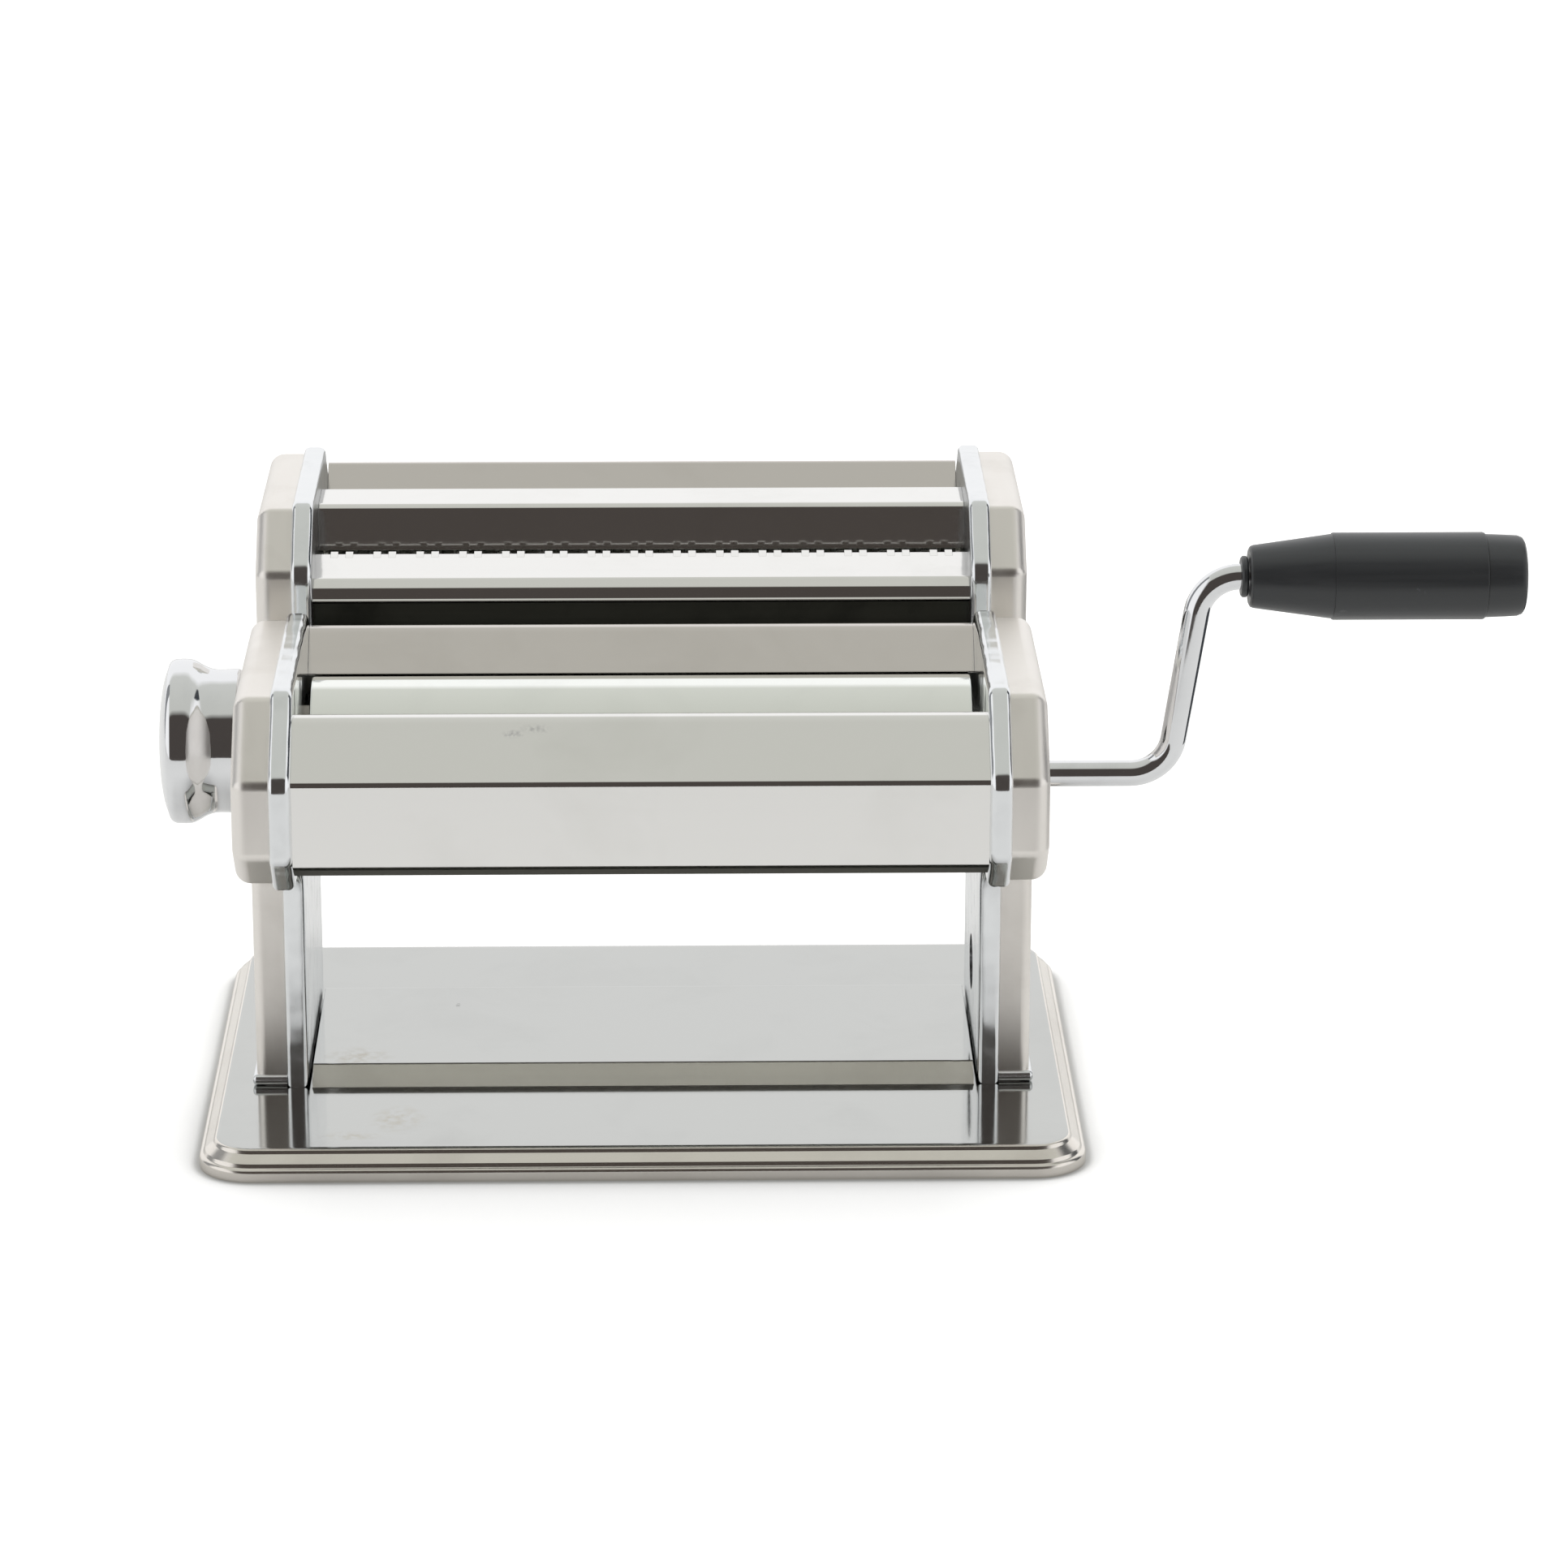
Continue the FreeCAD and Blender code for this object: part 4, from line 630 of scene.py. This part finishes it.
for name, line, node in [("knobBell", bell, "knob"), ("knobFace", dome, "knob_cap")]:
    dress(toObject(latheMesh(line, *knob["place"], 128), name), chromeTurned, "setting_knob",
          [node], smooth=50)
print("knob done")


# Crank and its grip

crank = {"radius": 2.9, "start": 79.0, "lower": 117.1, "upper": 124.0, "end": 187.6, "y": 35.2, "z0": 82.8,
         "z1": 128.3, "bend": 9.6, "tipFlats": 4.2, "tipLength": 5.0, "tipOverlap": 0.4}


def sweepMesh(points, radius, y, count=40):  # a round bar along a path in the XZ plane
    rings = []
    for i, point in enumerate(points):
        before, after = points[max(i - 1, 0)], points[min(i + 1, len(points) - 1)]
        run = (after - before).normalized()
        across = Vector((-run.y, run.x))
        ring = []
        for k in range(count):
            turn = 2 * math.pi * k / count
            spot = point + across * (radius * math.cos(turn))
            ring.append(at(spot.x, y + radius * math.sin(turn), spot.y))
        rings.append(ring)
    return loftMesh(rings)


bends = roundCorners([(crank["start"], crank["z0"], 0), (crank["lower"], crank["z0"], crank["bend"]),
                      (crank["upper"], crank["z1"], crank["bend"]), (crank["end"], crank["z1"], 0)], 14)
bar = toObject(sweepMesh(bends, crank["radius"], crank["y"]), "crankBar")
# six flats for the socket
tip = circle(crank["y"], crank["z0"], crank["tipFlats"] / 2 / math.cos(math.pi / 6), 6)
tipMesh = plateMesh(tip, crank["start"] - crank["tipLength"], crank["start"] + crank["tipOverlap"])
combine(bar, toObject(tipMesh, "crankTip"), "UNION")
dress(bar, chromeTurned, "crank", ["crank_rod"], smooth=40)

ferrule = {"line": [(132.3, 2.9), (132.3, 4.2), (132.7, 4.6), (133.4, 4.6), (133.8, 4.2), (133.8, 2.9),
                    (132.3, 2.9)]}
dress(toObject(latheMesh(ferrule["line"], crank["y"], crank["z1"], 56), "crankFerrule"), blackAbs, "crank",
      ["crank_collar"], smooth=40)

grip = {"place": (35.2, 128.3),
        "body": [(134.1, 2.95), (134.1, 6.2), (134.4, 6.7), (135.0, 6.95), (152.0, 9.32), (152.35, 9.36),
                 (152.4, 9.54), (152.7, 9.65), (185.6, 9.65), (186.0, 9.5), (186.1, 9.2), (186.1, 2.95),
                 (134.1, 2.95)],
        "cap": [(186.1, 5.8), (186.1, 9.1), (186.3, 9.2), (190.6, 9.05), (193.3, 8.9), (194.3, 8.5),
                (194.75, 7.8), (194.9, 6.9), (194.9, 0), (190.0, 0), (190.0, 5.8), (186.1, 5.8)]}
dress(toObject(latheMesh(grip["body"], *grip["place"], 80), "gripBarrel"), blackAbs, "crank_grip",
      ["grip"], smooth=25)
dress(toObject(latheMesh(grip["cap"], *grip["place"], 80), "gripPlug"), blackAbs, "crank_grip",
      ["grip_cap"], smooth=35)
print("crank done")


# Cutter unit

cutter = {"inner": 76.0, "outer": 81.0, "innerEdge": 1.5, "outerEdge": 1.3, "z": 100.5, "coverCorner": 5,
          "places": (108.75, 123.75, 141.35, 156.35), "hole": 4.7,
          "sockets": (0, 3), "socketHole": 6.3, "coverHole": 6.4,  # the two rollers that the crank fits
          "corners": [(93.7, 88.3, 4), (93.7, 112.8, 8), (107.0, 126.1, 4), (158.1, 126.1, 4),
                      (171.4, 112.8, 4), (171.4, 88.3, 4), (158.1, 75.0, 4), (107.0, 75.0, 4)]}
for side, word in sides:
    sockets = cutter["sockets"] if word == "right" else ()
    holes = [circle(y, cutter["z"], cutter["socketHole"] if i in sockets else cutter["hole"])
             for i, y in enumerate(cutter["places"])]
    plate = castPlate(cutter["corners"], holes, side * cutter["inner"], side * cutter["outer"],
                      cutter["innerEdge"], cutter["outerEdge"])
    flange = dress(toObject(plate, word + "CutterFlange"), chromeCasting, "cutter_unit",
                   [word + "_cutter_flange"])
    tint(flange, chromeInner, lambda face: side * face.normal.x < -0.9)
    softened = [(y, z, min(radius, cutter["coverCorner"])) for y, z, radius in cutter["corners"]]
    outside = insetCorners(softened, cover["inset"])
    dish = dishMesh(outside, cover["start"], cover["depth"], cover["round"], side)
    piece = toObject(dish, word + "CutterCover")
    hollowOut(piece, outside, side)
    for i in sockets:
        drill(piece, side, cutter["places"][i], cutter["z"], cutter["coverHole"])
    dress(piece, satinCover, "cutter_unit", [word + "_cutter_cover"], smooth=30)

cutterRoll = {"disc": 8.5, "core": 6.1, "clear": 0.16, "half": 74.7, "bevel": 0.9, "leftEnd": -86.6,
              "stub": 3.6, "plainEnd": 81.0, "socketStub": 5.2, "socketEnd": 89.0, "socket": 3.0,
              "socketDepth": 10.0, "tip": 2.2, "tipDepth": 15.1}


def cutterProfile(strip, shifted, hasSocket):
    c = cutterRoll
    line = [(c["leftEnd"], 0), (c["leftEnd"], c["stub"]), (-c["half"], c["stub"]), (-c["half"], c["core"])]
    count = int(c["half"] / strip)
    for k in range(-count, count):
        if (k + shifted) % 2 == 0:
            start, end = k * strip + c["clear"], (k + 1) * strip - c["clear"]
            line += [(start, c["core"]), (start, c["disc"] - c["bevel"]), (start + c["bevel"], c["disc"]),
                     (end - c["bevel"], c["disc"]), (end, c["disc"] - c["bevel"]), (end, c["core"])]
    line.append((c["half"], c["core"]))
    if not hasSocket:
        return line + [(c["half"], c["stub"]), (c["plainEnd"], c["stub"]), (c["plainEnd"], 0)]
    end = c["socketEnd"]
    return line + [(c["half"], c["socketStub"]), (end, c["socketStub"]), (end, c["socket"]),
                   (end - c["socketDepth"], c["socket"]), (end - c["socketDepth"], c["tip"]),
                   (end - c["tipDepth"], c["tip"]), (end - c["tipDepth"], 0)]


for name, index, strip, shifted, body, node in [
        ("wideCutterFront", 0, 5.0, 0, "wide_drive", "wide_cutter_front"),
        ("wideCutterRear", 1, 5.0, 1, "wide_driven", "wide_cutter_rear"),
        ("narrowCutterFront", 2, 2.5, 0, "narrow_driven", "narrow_cutter_front"),
        ("narrowCutterRear", 3, 2.5, 1, "narrow_drive", "narrow_cutter_rear")]:
    line = cutterProfile(strip, shifted, index in cutter["sockets"])
    piece = dress(toObject(latheMesh(line, cutter["places"][index], cutter["z"], 48), name), cutterSteel,
                  body, [node], smooth=30)
    tint(piece, cutterGlint, lambda face: 0.3 < abs(face.normal.x) < 0.95)  # painted glints on the discs' corners
print("cutter unit done")


# Carried-over solids

carriedOver = [
    (zincSteel, ["leg_screws", "tie_rods", "tie_nuts", "index_pin", "cutter_hooks", "front_roller_hubs",
                 "front_gear", "rear_gear", "adjuster_axle", "knob_nut", "knob_spring", "grip_retainer",
                 "cutter_tie_rods", "wide_gear_front", "wide_gear_rear", "narrow_gear_front",
                 "narrow_gear_rear"]),
    (nylonGrey, ["front_scraper", "rear_scraper", "wide_combs", "narrow_combs"]),
    (nylonNatural, ["roller_bushes", "axle_bushes", "roller_sleeves", "cutter_bearings"])]
for material, names in carriedOver:
    for name in names:
        nodes[name].data.materials.clear()
        nodes[name].data.materials.append(material)
print("solids dressed")


# Studio

def panel(name, corners, material):  # one flat panel of the studio
    mesh = bpy.data.meshes.new(name)
    mesh.from_pydata(corners, [], [(0, 1, 2, 3)])
    mesh.materials.append(material)
    made = bpy.data.objects.new(name, mesh)
    scene.collection.objects.link(made)
    return made


def seenRays(tree):  # camera rays, and with them the rays that show the studio in metal and glass
    rays = addNode(tree, "ShaderNodeLightPath").outputs
    seen = addNode(tree, "ShaderNodeMath", {}, {0: rays["Is Camera Ray"], 1: rays["Is Glossy Ray"]},
                   operation="ADD")
    seen = addNode(tree, "ShaderNodeMath", {}, {0: seen.outputs[0], 1: rays["Is Transmission Ray"]},
                   operation="ADD", use_clamp=True)
    return rays["Is Camera Ray"], seen.outputs[0]


# white paper on the table, lifted to white where it is seen; near the object ambient occlusion takes the lift
# away, a painted contact shadow
whiteSheet = {"tone": "#c8c8c6", "front": -0.52, "back": 3.0, "half": 2.2, "lift": 0.16, "white": 0.46,
              "contact": 0.015, "contactRays": 14, "contactDark": 0.71, "contactClear": 0.93}
material, tree, place = startMaterial("tableWhite")
paper = addNode(tree, "ShaderNodeBsdfDiffuse", {"Color": hexColor(whiteSheet["tone"])})
cameraRay, seen = seenRays(tree)
lift = addNode(tree, "ShaderNodeMath", {1: whiteSheet["lift"]}, {0: seen}, operation="MULTIPLY")
lift = addNode(tree, "ShaderNodeMath", {1: whiteSheet["white"]}, {0: cameraRay, 2: lift.outputs[0]},
               operation="MULTIPLY_ADD")
# painted contact shadow: the lift fades where ambient occlusion finds the object near
contactShade = addNode(tree, "ShaderNodeAmbientOcclusion", {"Distance": whiteSheet["contact"]},
                samples=whiteSheet["contactRays"])
clear = addNode(tree, "ShaderNodeMapRange",
                {"From Min": whiteSheet["contactDark"], "From Max": whiteSheet["contactClear"]},
                {"Value": contactShade.outputs["AO"]})
lift = addNode(tree, "ShaderNodeMath", {}, {0: lift.outputs[0], 1: clear.outputs[0]}, operation="MULTIPLY")
glow = addNode(tree, "ShaderNodeEmission", links={"Strength": lift.outputs[0]})
both = addNode(tree, "ShaderNodeAddShader", links={0: paper.outputs[0], 1: glow.outputs[0]})
addNode(tree, "ShaderNodeOutputMaterial", links={"Surface": both.outputs[0]})
half, front, rear = whiteSheet["half"], whiteSheet["front"], whiteSheet["back"]
corners = [(-half, front, 0), (half, front, 0), (half, rear, 0), (-half, rear, 0)]
floor = panel("studioFloor", corners, material)

# the dim room in front of the table and the grey ceiling over it, which the bright metal reflects
room = {"radius": 2.4, "half": 2.2, "low": -16.0, "high": 130.0, "fade": 0.5, "columns": 24, "rows": 60,
        # tones by degrees up from the front
        "bands": [(54, "#4a4542"), (62, "#cacbc5"), (118, "#d4d5d0"), (130, "#ffffff")]}
bm = bmesh.new()
grid = []
for r in range(room["rows"] + 1):
    angle = math.radians(room["low"] + (room["high"] - room["low"]) * r / room["rows"])
    back, up = -room["radius"] * math.cos(angle), room["radius"] * math.sin(angle)
    grid.append([bm.verts.new((room["half"] * (2 * c / room["columns"] - 1), back, up))
                 for c in range(room["columns"] + 1)])
for r in range(room["rows"]):
    for c in range(room["columns"]):
        bm.faces.new((grid[r][c], grid[r][c + 1], grid[r + 1][c + 1], grid[r + 1][c]))
roomMesh = bpy.data.meshes.new("studioRoom")
bm.to_mesh(roomMesh)
bm.free()
card = bpy.data.objects.new("studioRoom", roomMesh)
scene.collection.objects.link(card)
material, tree, place = startMaterial("roomDim")
spot = addNode(tree, "ShaderNodeSeparateXYZ", links={0: place})
ahead = addNode(tree, "ShaderNodeMath", {1: -1.0}, {0: spot.outputs["Y"]}, operation="MULTIPLY")
rise = addNode(tree, "ShaderNodeMath", {}, {0: spot.outputs["Z"], 1: ahead.outputs[0]}, operation="ARCTAN2")
share = addNode(tree, "ShaderNodeMath", {1: math.pi}, {0: rise.outputs[0]}, operation="DIVIDE")
bands = addNode(tree, "ShaderNodeValToRGB", links={0: share.outputs[0]})
ramp = bands.color_ramp
for k, (angle, tone) in enumerate(room["bands"]):
    stop = ramp.elements[k] if k < 2 else ramp.elements.new(1.0)
    stop.position = angle / 180
    stop.color = hexColor(tone)
aside = addNode(tree, "ShaderNodeMath", {}, {0: spot.outputs["X"]}, operation="ABSOLUTE")
fade = addNode(tree, "ShaderNodeMapRange",
               {"From Min": room["half"] - room["fade"], "From Max": room["half"]},
               {"Value": aside.outputs[0]})
mixed = addNode(tree, "ShaderNodeMix", {7: (1, 1, 1, 1)}, {0: fade.outputs[0], 6: bands.outputs[0]},
                data_type="RGBA")
glow = addNode(tree, "ShaderNodeEmission", {"Strength": 1.0}, {"Color": mixed.outputs[2]})
addNode(tree, "ShaderNodeOutputMaterial", links={"Surface": glow.outputs[0]})
roomMesh.materials.append(material)

# a dark flag on each side draws the thin dark edge lines of the bright bars
flag = {"near": 0.15, "far": 0.9, "high": 2.0,
        "sides": [("Left", -1.5, "#8c8e90"), ("Right", 1.5, "#3e4145")]}
flags = []
for word, x, tone in flag["sides"]:
    material, tree, place = startMaterial("flag" + word)
    glow = addNode(tree, "ShaderNodeEmission", {"Color": hexColor(tone), "Strength": 1.0})
    addNode(tree, "ShaderNodeOutputMaterial", links={"Surface": glow.outputs[0]})
    near, far, high = flag["near"], flag["far"], flag["high"]
    corners = [(x, near, 0), (x, far, 0), (x, far, high), (x, near, high)]
    flags.append(panel("studioFlag" + word, corners, material))
# the dark table beside the white paper, on the crank's side
darkTable = {"x": (0.24, 0.40), "y": (-0.02, 0.6), "z": 0.001}
(x0, x1), (y0, y1), z = darkTable["x"], darkTable["y"], darkTable["z"]
corners = [(x0, y0, z), (x1, y0, z), (x1, y1, z), (x0, y1, z)]
flags.append(panel("studioTableEdge", corners, material))
for shown in [card] + flags:  # only reflections show these
    shown.visible_camera = False
    shown.visible_diffuse = False
    shown.visible_shadow = False
    shown.visible_transmission = False

daylight = {"fill": 0.62, "seen": 1.0}  # strength of the white surround as light, and as it is seen
world = bpy.data.worlds.new("studioWhite")
scene.world = world
world.use_nodes = True
tree = world.node_tree
tree.nodes.clear()
cameraRay, seen = seenRays(tree)
level = addNode(tree, "ShaderNodeMapRange", {"To Min": daylight["fill"], "To Max": daylight["seen"]},
                {"Value": seen})
sky = addNode(tree, "ShaderNodeBackground", {"Color": (1, 1, 1, 1)}, {"Strength": level.outputs[0]})
addNode(tree, "ShaderNodeOutputWorld", links={"Surface": sky.outputs[0]})

softbox = {"size": 1.2, "height": 1.6, "back": 0.7, "power": 20.0}
lampData = bpy.data.lights.new("softbox", "AREA")
lampData.shape = "SQUARE"
lampData.size = softbox["size"]
lampData.energy = softbox["power"]
lamp = bpy.data.objects.new("softbox", lampData)
lamp.location = (0.0, softbox["back"], softbox["height"])
lamp.rotation_euler = (-math.atan2(softbox["back"], softbox["height"]), 0, 0)
lamp.visible_glossy = False
scene.collection.objects.link(lamp)

view = {"place": (5.891, -1165.867, 477.644), "lens": 130.435, "sensor": 36.0, "reach": 50.0,
        "right": (0.99978137, -0.02080232, 0.00211615), "up": (0.00451893, 0.31377223, 0.94948753),
        "forward": (0.02041554, 0.94927038, -0.31379763)}
cameraData = bpy.data.cameras.new("photoCamera")
cameraData.lens = view["lens"]
cameraData.sensor_width = view["sensor"]
cameraData.clip_end = view["reach"]
camera = bpy.data.objects.new("photoCamera", cameraData)
turn = Matrix([view["right"], view["up"], -Vector(view["forward"])]).transposed().to_4x4()
camera.matrix_world = Matrix.Translation(at(*view["place"])) @ turn
scene.collection.objects.link(camera)
scene.camera = camera
print("studio ready")
